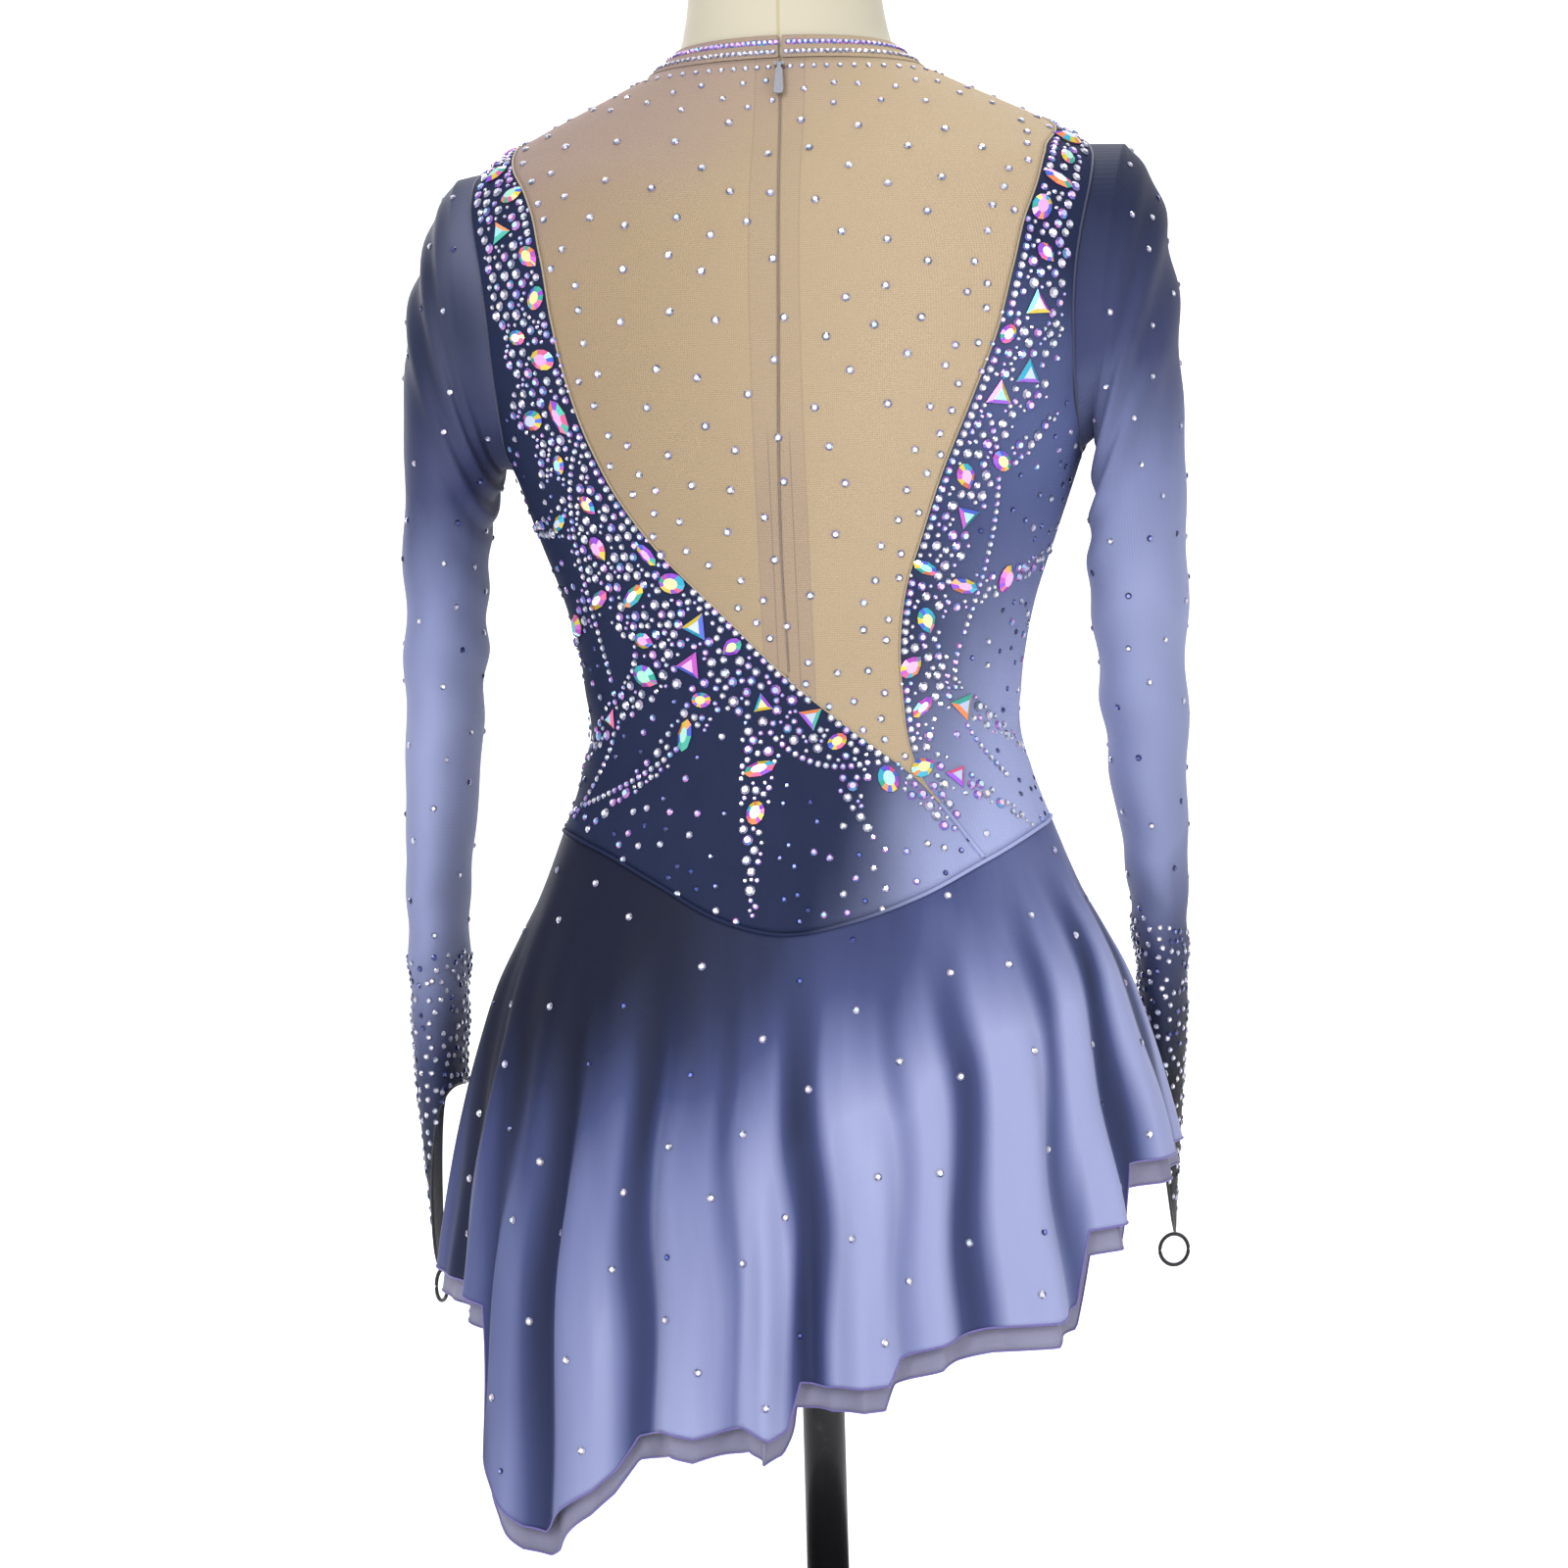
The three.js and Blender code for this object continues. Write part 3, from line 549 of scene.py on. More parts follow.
def closed_rings(name, rings, centres, material, node=None):
    """Level rings from the top down, joined to one another and, at both ends, to a centre."""
    rows, columns = rings.shape[:2]
    first = np.arange(columns)
    following = (first + 1) % columns
    last = (rows - 1) * columns
    tip = np.full(columns, rows * columns)
    top = np.stack([tip, first, following], -1)
    bottom = np.stack([tip + 1, last + following, last + first], -1)
    points = np.concatenate([rings.reshape(-1, 3), centres])
    return make_mesh(name, points, [grid_faces(rows, columns, True), top, bottom], material, node)


def scaled_rings(ring, grow, heights):
    """Copies of one ring, each scaled about the upright axis and set at its own height."""
    flat = ring[None, :, :2] * grow[:, None, None]
    return np.concatenate([flat, np.broadcast_to(heights[:, None, None], flat.shape[:2] + (1,))], -1)


def make_form(material):
    """Rings of the body's sections, closed by rounded ends at the neck and under the hip."""
    heights = np.concatenate([np.linspace(966, 908, 30), np.linspace(904, 400, 126)])
    turn, height = np.meshgrid(np.linspace(0, 360, 180, endpoint=False), heights)
    rings = on_body(turn, height, -form_inset(height))
    ends = np.linspace(0, 1, 9)
    above = scaled_rings(rings[0], mix(0.86, 1.0, np.sqrt(1 - (1 - ends) ** 2)), 970 - 4 * ends**2)
    below = scaled_rings(rings[-1], mix(0.99, 0.8, ends**3), 400 - 98 * ends)
    rings = np.concatenate([above[:-1], rings, below[1:]])
    centres = [[0, 0, 970.3], [0, 0, 301.5]]
    return closed_rings("form_body", rings, centres, material, "dress_form")


def finish_form():
    """Cream knit with a stitched seam down the middle of the back and the front."""
    material, place = begin_finish("form knit", Roughness=0.8, Sheen_Weight=0.3)
    x, _, z = place.axes()
    off_seam = x.math("ABSOLUTE", x - 0.002)
    seam = off_seam.step(0.0004, 0.0014)
    puckers = (z * 900.0).math("SINE", z * 900.0) * off_seam.step(0.006, 0.0)
    cloud = place.noise(9.0) * 0.3
    colour = cloud.blend(dye("#c2bba6"), dye("#b0a68c"))
    colour = seam.blend(dye("#b3a884"), colour)
    height = seam * 0.6 + puckers * 0.06 + place.noise(900.0, 1.0) * 0.2
    return feed(material, Base_Color=colour, Normal=height.bump(0.4, 0.0008))


form = make_form(finish_form())
print("the form has", len(form.data.polygons), "faces")


# %% The stand
def turned(name, profile, material, steps, node=None):
    """A profile of radius and height carried round the upright axis, closed at both ends."""
    radius, height = np.asarray(profile[::-1], float).T[..., None]
    turn = np.linspace(0, 2 * math.pi, steps, endpoint=False)
    rings = np.stack([radius * np.cos(turn), radius * np.sin(turn), height + 0 * turn], -1)
    centres = [[0, 0, height[0, 0]], [0, 0, height[-1, 0]]]
    return closed_rings(name, rings, centres, material, node)


def rounded_edge(radius, height, reach, rise):
    """Profile points of a quarter ellipse that turns up and inwards from a place on the profile."""
    turn = np.linspace(0, math.pi / 2, 8)[1:]
    return list(zip(radius + reach * np.cos(turn), height + rise * np.sin(turn)))


def finish_stand():
    """Black powder coat: a fine orange-peel surface with slightly worn, brighter specks."""
    material, place = begin_finish("stand coat", Metallic=0.3, Coat_Weight=0.2)
    grain = place.noise(700.0, 2.0)
    wear = place.noise(40.0, 4.0).step(0.62, 0.75)
    return feed(
        material, Base_Color=wear.blend(dye("#1b1b1e"), dye("#3a3a40")), Roughness=wear * -0.12 + 0.46,
        Normal=grain.bump(0.3, 0.0003),
    )


stand_coat = finish_stand()
base_profile = [(149, 0), (150, 1), (150, 6)] + rounded_edge(146, 6, 4, 4) + [(26, 10), (25, 10)]
turned("base_plate", base_profile, stand_coat, 96, "stand_base")
turned("pole_tube", [(12, 10.3), (12, 299.7)], stand_coat, 48, "stand_pole")
turned("pole_socket", [(24, 10.2), (24, 16)] + rounded_edge(18, 16, 6, 8) + [(12.2, 25)], stand_coat, 48)
print("the base is", 2 * base_profile[1][0], "mm wide")


# %% [markdown]
# ## The bodice
# Each panel is a grid between two edges, with rows that run level across it. The lower rows bend down
# to meet the pointed waist seam. Soft drag lines run from the armhole and the waist, where real stretch
# cloth pulls.


# %% Panels between two edges
def panel_heights(top, bottom, steps=90):
    """Heights from top to bottom, closer together near the ends of the armhole."""
    turns = np.linspace(0, 180, 31)
    arm = armhole_middle + armhole_half_height * np.cos(np.radians(turns))
    even = np.linspace(top, bottom, steps)
    joined = np.concatenate([even, arm[(arm < top - 1) & (arm > bottom + 1)]])
    return np.unique(np.round(joined, 2))[::-1]


def drag_lines(angle, height):
    """Small ripples, in millimetres: fans of waves that fade away from the armhole and the side waist."""
    away = (90 - np.abs(angle)) / 90
    near_arm = bell(height, 700, 45) * bell(away, 0, 0.3)
    near_waist = bell(height, 540, 40) * bell(away, 0, 0.5)
    near_point = bell(height, 462, 22) * bell(angle, 12, 22)
    fan = np.sin((height - 700) / 9 + away * 18) * near_arm
    low = 0.45 * np.sin((height - 462) / 2.6 + angle / 40) * near_point
    return 0.9 * fan + 0.7 * np.sin((height - 540) / 7 - away * 9) * near_waist + low


# The width in millimetres that a degree takes on a cut, and the cloths' thicknesses.
degree_width, skirt_degree_width, sleeve_degree_width = 2.3, 3.2, 0.7
bodice_thickness, skirt_thickness, sleeve_thickness = 1.1, 0.9, 1.0
dark_cloth = ("bodice_cloth", bodice_cloth)
sheer_cloth = ("sheer_mesh", mesh_cloth)


def on_body_cloth(
    name, node, angle, height, slot, material, out=0.0, thickness=bodice_thickness, width=degree_width,
):
    """Cloth through a grid of places on the body. Laid flat, each degree takes the same width."""
    places = np.stack([angle * width, height], -1)
    return cloth(name, node, on_body(angle, height, out), places, thickness, slot, material)


def level_cloth(name, node, heights, from_angle, to_angle, columns, slot, material, **more):
    """Cloth with level rows, from one edge to the other at each height."""
    height = np.repeat(heights[:, None], columns, axis=1)
    angle = mix(from_angle(height), to_angle(height), np.linspace(0, 1, columns)) + 0 * height
    return on_body_cloth(name, node, angle, height, slot, material, **more)


def outer_edge(height):
    """Where a back panel ends: the side seam, or the armhole above it."""
    return 90 - armhole_reach(height)


# Panels stop this many degrees short of a seam.
gap = 0.1
# The sheer back's lowest point, and the heights at which the panels end.
tip_angle, tip_height = 54, 455
panel_top, collar_seam, zip_foot = 876, 904.7, 559


def back_panel(name, side, edge, columns, node):
    """A back panel: each row runs from the side seam to the mesh's edge, and the last on the waist seam."""
    outer_heights = panel_heights(panel_top, side_height, 110)
    stretch = (600 - tip_height) / (600 - side_height)
    inner_heights = np.where(outer_heights > 600, outer_heights, 600 - (600 - outer_heights) * stretch)
    share = np.linspace(0, 1, columns)[None, :]
    outer_angles = (side * (outer_edge(outer_heights) - gap))[:, None]
    inner_angles = (read_table(edge, inner_heights) + side * gap)[:, None]
    seam = waist_height(mix(side * 90.0, tip_angle, share)) + 0.3
    dip = seam - mix(side_height, tip_height, share)
    bend = smooth(640 - outer_heights, 0, 640 - side_height)[:, None]
    height = mix(outer_heights[:, None], inner_heights[:, None], share) + dip * bend
    angle = mix(outer_angles, inner_angles, share)
    out = drag_lines(angle, height) * smooth(height, 470, 500)
    if side > 0:
        angle, height, out = angle[:, ::-1], height[:, ::-1], out[:, ::-1]
    return on_body_cloth(name, node, angle, height, *dark_cloth, out=out)


# The edges between which level panels run: each is an angle at a height, less the gap at the seam.
def left_edge(height):
    return read_table(left_mesh_edge, height) + gap


def middle_edge(height):
    return read_table(centre_back, height)


def right_half_inner_edge(height):
    return np.where(height >= zip_foot, middle_edge(height) + gap, left_edge(height))


def right_edge(height):
    return read_table(right_mesh_edge, height) - gap


def front_left_edge(height):
    return 180 - outer_edge(height) + gap


def front_right_edge(height):
    return 180 + outer_edge(height) - gap


left_panel = back_panel("back_left", -1, left_mesh_edge, 110, "back_panel_left")
right_panel = back_panel("back_right", 1, right_mesh_edge, 60, "back_panel_right")
left_mesh = level_cloth(
    "sheer_left", "back_mesh_left", panel_heights(collar_seam, zip_foot, 110), left_edge,
    lambda height: middle_edge(height) - gap, 60, *sheer_cloth,
)
right_mesh = level_cloth(
    "sheer_right", "back_mesh_right", panel_heights(collar_seam, 470, 110), right_half_inner_edge, right_edge,
    60, *sheer_cloth,
)
yoke = level_cloth(
    "front_yoke", "front_mesh_yoke", panel_heights(collar_seam, armhole_middle), front_left_edge,
    front_right_edge, 120, *sheer_cloth,
)
front = level_cloth(
    "front_body", "front_bodice", panel_heights(armhole_middle - 0.5, side_height), front_left_edge,
    front_right_edge, 120, *dark_cloth,
)
print("bodice panels made")


# %% [markdown]
# ## The skirt
# The skirt is a flared tube whose folds grow from nothing at the waist seam. Each fold is a rounded
# ridge at its own angle that sways a little on its way down, and small ripples ride on it. A simulation
# could drape it, but a formula keeps each fold where it hangs. The hem is uneven, with long points, and
# both layers end in a purple overlocked edge. Each point keeps how far it stands out, for painted shade in
# the hollows of the folds.

# %% The skirt's folds and hem
# Columns: angle, rise, spread.
skirt_folds = [
    (-86, 8, 7), (-69, 8, 5), (-58, 9, 5.5), (-42, 13, 7), (-22, 14, 8), (-6, 12, 6), (16, 14, 8),
    (31, 8, 6), (49, 14, 7), (64, 10, 5), (80, 9, 6), (98, 10, 7), (116, 11, 8), (135, 12, 8),
    (155, 12, 8), (176, 12, 8), (197, 12, 8), (217, 12, 8), (237, 12, 8), (256, 10, 7),
]
# Columns: angle, height.
hem_heights = [
    (-98, 236), (-82, 226), (-69, 219), (-66, 214), (-63, 132), (-58, 110), (-54, 97), (-51, 94),
    (-45, 108), (-39, 120), (-36, 131), (-33, 149), (-25, 154), (-19, 150), (-10, 156), (-4, 149),
    (-1, 153), (2, 178), (8, 176), (20, 177), (23, 190), (30, 196), (41, 204), (50, 206), (57, 213),
    (60, 252), (69, 257), (72, 285), (90, 290), (120, 296), (150, 290), (180, 280), (210, 268),
    (240, 252), (262, 236),
]


def hem_height(angle):
    """The hem's height at an angle, by straight lines between the rows of its table."""
    table = np.asarray(hem_heights, float)
    return np.interp(angle, table[:, 0], table[:, 1], period=360)


fold_depth, fold_hollow, fold_narrowing = 1.55, 8.0, 0.88
under_hem_drop = 13


def fold_rise(angle):
    """The sum of rounded ridges, each a bell curve of its own angle, rise and spread, less a hollow."""
    ridge, rise, spread = np.asarray(skirt_folds, float).T
    away = (np.asarray(angle, float)[..., None] - ridge + 180) % 360 - 180
    return fold_depth * (rise * np.exp(-((away / spread / fold_narrowing) ** 2))).sum(-1) - fold_hollow


def swayed(angle, share):
    """An angle that wavers on its way down, so that no fold hangs dead straight, and settles at the hem."""
    size = 2.2 * smooth(share, 0.15, 0.5) * smooth(1 - share, 0, 0.4)
    return angle + size * np.sin(share * 6 + np.radians(angle) * 3)


def skirt_point(angle, share, hem_drop=0.0):
    """A place on the skirt, from 0 at the waist seam to 1 at the hem: the flare plus the grown folds."""
    angle, share = np.broadcast_arrays(np.asarray(angle, float), np.asarray(share, float))
    top = waist_height(angle) - 0.3
    height = mix(top, hem_height(angle) - hem_drop, share)
    point = section_point(skirt_sections, angle, height)
    drop = top - height
    ripple = 1.3 * np.sin(np.radians(angle) * 47 + np.sin(np.radians(angle) * 5) * 3) * smooth(drop, 30, 260)
    outwards = unit(point * [1, 1, 0])
    return point + outwards * (fold_rise(swayed(angle, share)) * smooth(drop, 0, 230) + ripple)[..., None]


def skirt_frames(angle, share, hem_drop=0.0):
    """The point, the normal and the level direction at places on the skirt."""
    return frames_on(lambda a, s: skirt_point(a, s, hem_drop), angle, share, 0.2, -0.004)


def make_skirt_layer(name, node, shares, inset, hem_drop, slot, material):
    """One layer right round: the skirt's places moved in by an inset that grows down from the seam."""
    share, angle = np.meshgrid(shares, np.linspace(0, 360, 900, endpoint=False), indexing="ij")
    point, normal, _ = skirt_frames(angle, share, hem_drop)
    points = point - normal * inset(share)[..., None]
    places = np.stack([angle * skirt_degree_width, points[..., 2]], -1)
    piece = cloth(name, node, points, places, skirt_thickness, slot, material, True)
    # Painted shade for the skirt cloth: low in the hollows of the folds and high on the ridges, flat near the
    # waist seam.
    lit = smooth(fold_rise(swayed(angle, share)), -fold_hollow, 4.5)
    fold = piece.data.attributes.new("fold", "FLOAT", "POINT")
    fold.data.foreach_set("value", mix(0.72, lit, smooth(share, 0.04, 0.45)).reshape(-1))
    return piece, points


outer_skirt, outer_points = make_skirt_layer(
    "skirt_top_layer", "skirt_outer", np.linspace(0, 1, 90), lambda share: 0 * share, 0,
    "skirt_cloth", skirt_cloth,
)
under_skirt, under_points = make_skirt_layer(
    "skirt_lower_layer", "skirt_under", np.linspace(0.03, 1, 60),
    lambda share: mix(2.0, 5.0, smooth(share, 0, 0.4)), under_hem_drop, "under_cloth", under_cloth,
)
print("skirt rows and columns:", outer_points.shape[:2])


# %% A cord or edge carried along a path
def tube(name, path, radius, slot, material, closed=True, node=None):
    """A round section carried along a path: two directions square to the path span each ring."""
    ahead = np.roll(path, -1, axis=0) - np.roll(path, 1, axis=0)
    if not closed:
        ahead[0], ahead[-1] = path[1] - path[0], path[-1] - path[-2]
    ahead = unit(ahead)
    side = unit(np.cross(ahead, [0.0, 0.0, 1.0]) + 1e-6)
    up = np.cross(side, ahead)
    rows, sides = len(path), 8
    turn = np.linspace(0, 2 * math.pi, sides, endpoint=False)[:, None, None]
    points = path + (np.cos(turn) * side + np.sin(turn) * up) * radius
    faces = [grid_faces(sides + 1, rows, closed) % (sides * rows)]
    if not closed:
        starts = np.arange(sides)[None] * rows
        faces += [starts, starts[:, ::-1] + rows - 1]
    return make_mesh(name, points, faces, material, node)


def finish_thread(name, code, roughness=0.7):
    """Twisted thread: a darker and a lighter tone of its colour, mixed by fine noise that also bumps it."""
    material, place = begin_finish(name, Roughness=roughness, Sheen_Weight=0.3)
    twist = place.noise(1400.0, 1.0)
    dark, light = dye(code), tuple(min(1.0, 1.6 * part) for part in dye(code)[:3]) + (1.0,)
    return feed(material, Base_Color=twist.blend(dark, light), Normal=twist.bump(0.5, 0.0005))


purple_thread = finish_thread("overlock thread", "#5d5590")
navy_thread = finish_thread("seam thread", "#232844", 0.6)
tube("hem_top_edge", outer_points[-1] + [0, 0, 0.2], 0.55, "skirt_cloth", purple_thread)
tube("hem_lower_edge", under_points[-1] + [0, 0, 0.2], 0.5, "under_cloth", purple_thread)
seam_angles = np.linspace(-90, 270, 720, endpoint=False)
piping_path = on_body(seam_angles, waist_height(seam_angles), 0.35)
tube("piping_cord", piping_path, 1.1, *dark_cloth, node="waist_piping")


def armhole_path(side):
    """The armhole's edge on the body: a half turn of an ellipse to the back and one to the front."""
    turn = np.linspace(0, 2 * math.pi, 160, endpoint=False)
    angle = side * (90 + armhole_half_angle * np.sin(turn))
    return on_body(angle, armhole_middle + armhole_half_height * np.cos(turn), 0.15)


for side, name in ((-1, "left"), (1, "right")):
    tube(f"armhole_seam_{name}", armhole_path(side), 0.7, "bodice_cloth", navy_thread)
edge_thread = finish_thread("mesh edge thread", "#8f8168")
edge_heights = np.linspace(872, 484, 260)
for name, table in (("left", left_mesh_edge), ("right", right_mesh_edge)):
    path = on_body(read_table(table, edge_heights), edge_heights, 0.2)
    tube(f"mesh_edge_{name}", path, 0.55, "sheer_mesh", edge_thread, closed=False)
join_heights = np.linspace(487, tip_height + 2, 60)
join_angles = (read_table(left_mesh_edge, join_heights) + read_table(right_mesh_edge, join_heights)) / 2
tube("panel_join_seam", on_body(join_angles, join_heights, 0.1), 1.3, *dark_cloth, closed=False)
print("hem edges, piping and seams made")


# %% [markdown]
# ## The sleeves
# A sleeve is a bent tube through slanted rings, each an ellipse between its outer and inner edge. Empty
# stretch cloth creases: near the armhole, inside the elbow and above the cuff. The cuff runs to a point
# over the hand and ends in a loop for the middle finger.

# %% The sleeve rings
# Columns: outer_x, outer_z, inner_x, inner_z, middle_y, depth_y.
sleeve_rings = {
    "left": [
        (190, 853, 172, 686, 0, 142), (202, 838, 174, 679, 1, 136), (211, 814, 177, 670, 2, 126),
        (221, 784, 180, 656, 4, 115), (226, 745, 183, 642, 6, 105), (229, 688, 185, 622, 9, 94),
        (232, 620, 187, 589, 13, 88), (234, 563, 191, 550, 17, 84), (236, 506, 196, 499, 20, 80),
        (238, 448, 203, 448, 23, 76), (238, 391, 206, 390, 26, 72), (237, 339, 209, 339, 28, 68),
    ],
    "right": [
        (192, 856, 170, 692, 0, 142), (206, 838, 170, 683, 2, 136), (215, 806, 168, 662, 5, 126),
        (219, 760, 166, 643, 10, 114), (220, 705, 163, 622, 18, 100), (220, 649, 164, 596, 28, 90),
        (218, 582, 167, 551, 42, 84), (216, 516, 170, 506, 55, 80), (214, 449, 177, 455, 66, 72),
        (212, 393, 181, 405, 74, 66), (210, 348, 184, 348, 80, 62),
    ],
}
ring_distance = 55
cuff_drop, cuff_inward = 108, 10
# How sharply a cuff runs to its point, as powers at the back and at the front of the arm.
cuff_sharpness = {"left": (2.0, 7.0), "right": (1.4, 5.0)}
side_sign = {"left": -1, "right": 1}


def sleeve_point(side, turn, along):
    """A place on a sleeve: along is 0 at the armhole, counts the rings, and then goes down the cuff."""
    sign = side_sign[side]
    table = np.asarray([(i + 1,) + row for i, row in enumerate(sleeve_rings[side])], float)
    count = len(table)
    turn, along = np.broadcast_arrays(np.asarray(turn, float), np.asarray(along, float))
    cosine, sine = np.cos(np.radians(turn)), np.sin(np.radians(turn))
    reach = (armhole_half_angle - 0.2) * sine
    arm_height = armhole_middle + (armhole_half_height - 0.6) * cosine
    arm = on_body(sign * (90 + reach), arm_height, -0.7)
    at = np.clip(along, 1, count)
    outer_x, outer_z, inner_x, inner_z, middle_y, depth = (read_table(table, at, c) for c in range(1, 7))
    x = mix(inner_x, outer_x, (1 + cosine) / 2)
    z = mix(inner_z, outer_z, (1 + cosine) / 2)
    ring = np.stack([sign * x, middle_y + depth / 2 * sine, z], -1)
    ring = ring + sleeve_creases(side, turn, along)[..., None] * np.stack([sign * cosine, sine, 0 * sine], -1)
    down = np.clip(along - count, 0, 1)
    to_back, to_front = cuff_sharpness[side]
    point_share = down * ((1 + cosine) / 2) ** mix(to_back, to_front, smooth(sine, -0.5, 0.6))
    ring[..., 0] -= sign * cuff_inward * point_share
    ring[..., 2] -= cuff_drop * point_share + 8 * down
    return mix(arm, ring, np.clip(along, 0, 1)[..., None])


def sleeve_creases(side, turn, along):
    """Creases in millimetres: slanting waves that gather near the armhole, the elbow and the wrist."""
    around = np.radians(turn)
    count = len(sleeve_rings[side])
    top = 1.9 * bell(along, 3.4, 1.5) * np.sin(along * 5.2 + 2.2 * np.sin(around) + 0.6)
    elbow = 1.5 * bell(along, 7.2, 1.3) * np.sin(along * 6.1 - 1.8 * np.cos(around))
    wrist = 0.8 * bell(along, count - 1.2, 1.1) * np.sin(along * 9.0 + 1.4 * np.sin(around * 2))
    return (top + elbow + wrist) * smooth(along, 0.6, 1.6) * (1 - smooth(along, count - 0.4, count + 0.2))


def make_sleeve(side):
    """The sleeve's grid from the armhole to the tip of its cuff."""
    count = len(sleeve_rings[side])
    turns = np.linspace(0, 360, 120, endpoint=False)
    alongs = np.concatenate([np.linspace(0, count, 220), np.linspace(count, count + 1, 40)[1:]])
    along, turn = np.meshgrid(alongs, turns, indexing="ij")
    places = np.stack([turn * sleeve_degree_width, along * ring_distance], -1)
    points = sleeve_point(side, turn, along)[:, :: side_sign[side]]
    finish = "sleeve_cloth", sleeve_cloths[side]
    return cloth(f"sleeve_tube_{side}", f"sleeve_{side}", points, places, sleeve_thickness, *finish, True)


sleeves = {side: make_sleeve(side) for side in ("left", "right")}
print("sleeves made")


# %% The finger loops and the cuff edges
def loop_path(side, turned_by, radius=9.0):
    """A circle that hangs just under the cuff's tip and is turned about the upright axis by an angle."""
    outer_x, outer_z, _, _, middle_y, _ = sleeve_rings[side][-1]
    centre = np.array([
        side_sign[side] * (outer_x - cuff_inward - 0.75), middle_y, outer_z - cuff_drop - 8 - radius - 1.5,
    ])
    angle = np.linspace(0, 2 * math.pi, 64, endpoint=False)
    flat, along = math.radians(turned_by), np.cos(angle)
    return centre + radius * np.stack([along * math.cos(flat), along * math.sin(flat), np.sin(angle)], -1)


black_cord = finish_thread("elastic cord", "#14141c", 0.6)
for side, turned_by in (("left", 80), ("right", 25)):
    path = loop_path(side, turned_by)
    tube(f"loop_{side}", path, 1.2, "elastic_cord", black_cord, node=f"finger_loop_{side}")
    edge = sleeve_point(side, np.linspace(0, 360, 240, endpoint=False), len(sleeve_rings[side]) + 1.0)
    tube(f"cuff_edge_{side}", edge, 0.8, "elastic_cord", black_cord)
print("finger loops made")

# %% [markdown]
# ## The collar and the zip
# The collar is a narrow folded band with a gap for the zip. The hidden zip shows as a fine line between
# two tapes that shine through the mesh, with a small slider and a swinging pull at the top.


# %% The collar band
collar_gap = 1.2
collar_middle = float(middle_edge(911.0))
collar_heights = np.linspace(collar_top, collar_bottom, 14)
collar_bulge = 0.5 + 0.5 * np.sin(np.pi * (collar_top - collar_heights) / (collar_top - collar_bottom))
collar = level_cloth(
    "neck_band", "collar_band", collar_heights, lambda height: collar_middle + collar_gap,
    lambda height: collar_middle + 360 - collar_gap, 240, *sheer_cloth, out=collar_bulge[:, None],
    thickness=1.2, width=1.1,
)
print("the collar leaves a gap of", 2 * collar_gap, "degrees for the zip")


# %% The zip's tape and lips
def finish_tape():
    """Mauve woven tape with a herringbone of fine slanting ridges."""
    material, place = begin_finish("zip tape weave", Roughness=0.7, Sheen_Weight=0.2)
    weave = {"Vector": on_cut(place), "Scale": 420.0}
    ridges = place.node("ShaderNodeTexWave", {"bands_direction": "DIAGONAL"}, weave)
    colour = ridges.blend(dye("#8d7386"), dye("#a98fa2"))
    return feed(material, Base_Color=colour, Normal=ridges.bump(0.3, 0.0003))


tape_half_angle = 7
tape = level_cloth(
    "zip_tape_strip", "zip_tape", np.linspace(904, 682, 90),
    lambda height: middle_edge(height) - tape_half_angle,
    lambda height: middle_edge(height) + tape_half_angle,
    15, "zip_tape_cloth", finish_tape(), out=-1.9, thickness=0.8, width=2.0,
)
lip_heights = np.linspace(904, 562, 240)
lip_path = on_body(middle_edge(lip_heights), lip_heights, 0.15)
tube("zip_lips", lip_path, 0.55, "zip_tape_cloth", finish_thread("zip lips", "#6d5e52"), closed=False)


def finish_zip_metal():
    """Bright metal with faint scratches."""
    material, place = begin_finish("zip metal", Metallic=1.0)
    scratch = place.stretched((900, 900, 120)).noise(1.0)
    colour = scratch.blend(dye("#c9cbd2"), dye("#9a9ca6"))
    return feed(material, Base_Color=colour, Roughness=scratch * 0.2 + 0.2)


zip_metal = finish_zip_metal()
for node in ("zip_slider", "zip_pull"):
    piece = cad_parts[node]
    piece.data.materials.clear()
    piece.data.materials.append(zip_metal)
print("collar and zip made")

# %% [markdown]
# ## The stones
# The stones are flat-backed and faceted, from 3 to 12 mm wide. Foil and a rainbow coating tint every facet,
# and each facet's colour also holds a painted glint, so a stone is a bright table of painted highlight in a
# ring of darker, tinted facets with painted shade. They are laid by hand, large ones first, then rows along
# the seams, and then small ones wherever there is still room. The same order is followed here: a place keeps
# its stone if it clears all that were laid before it.


# %% One faceted stone
def round_outline(sides, length=1.0, width=1.0, point=0.0):
    """Corners of a stone's edge: an ellipse whose width falls off towards one end by a square law."""
    turn = np.linspace(0, 2 * math.pi, sides, endpoint=False)
    x, y = np.cos(turn), np.sin(turn)
    return np.stack([x * length, y * width * (1 - point * np.clip(x, 0, 1) ** 2)], -1)


def stone_shape(outline, table=0.55, height=0.5, girdle=0.12):
    """A flat back, a low girdle and a crown that rises to a flat table. The last face is the table."""
    rings = [(1.0, 0.0), (1.0, girdle), (table, height)]
    sides = len(outline)
    points = np.concatenate([np.column_stack([outline * grow, np.full(sides, up)]) for grow, up in rings])
    ring = np.arange(sides)
    following = (ring + 1) % sides
    walls = np.stack([ring, following, following + sides, ring + sides], -1)
    return points, [walls, walls + sides, np.array([ring[::-1]]), np.array([ring + 2 * sides])]


stone_shapes = {
    "round": stone_shape(round_outline(8), 0.56, 0.52),
    "oval": stone_shape(round_outline(12, 1.3, 0.95), 0.55, 0.42),
    "navette": stone_shape(round_outline(8, 1.75, 0.8), 0.5, 0.42),
    "drop": stone_shape(round_outline(12, 1.45, 1.0, 0.85), 0.55, 0.45),
    "triangle": stone_shape(round_outline(3) * 1.45, 0.5, 0.42),
}


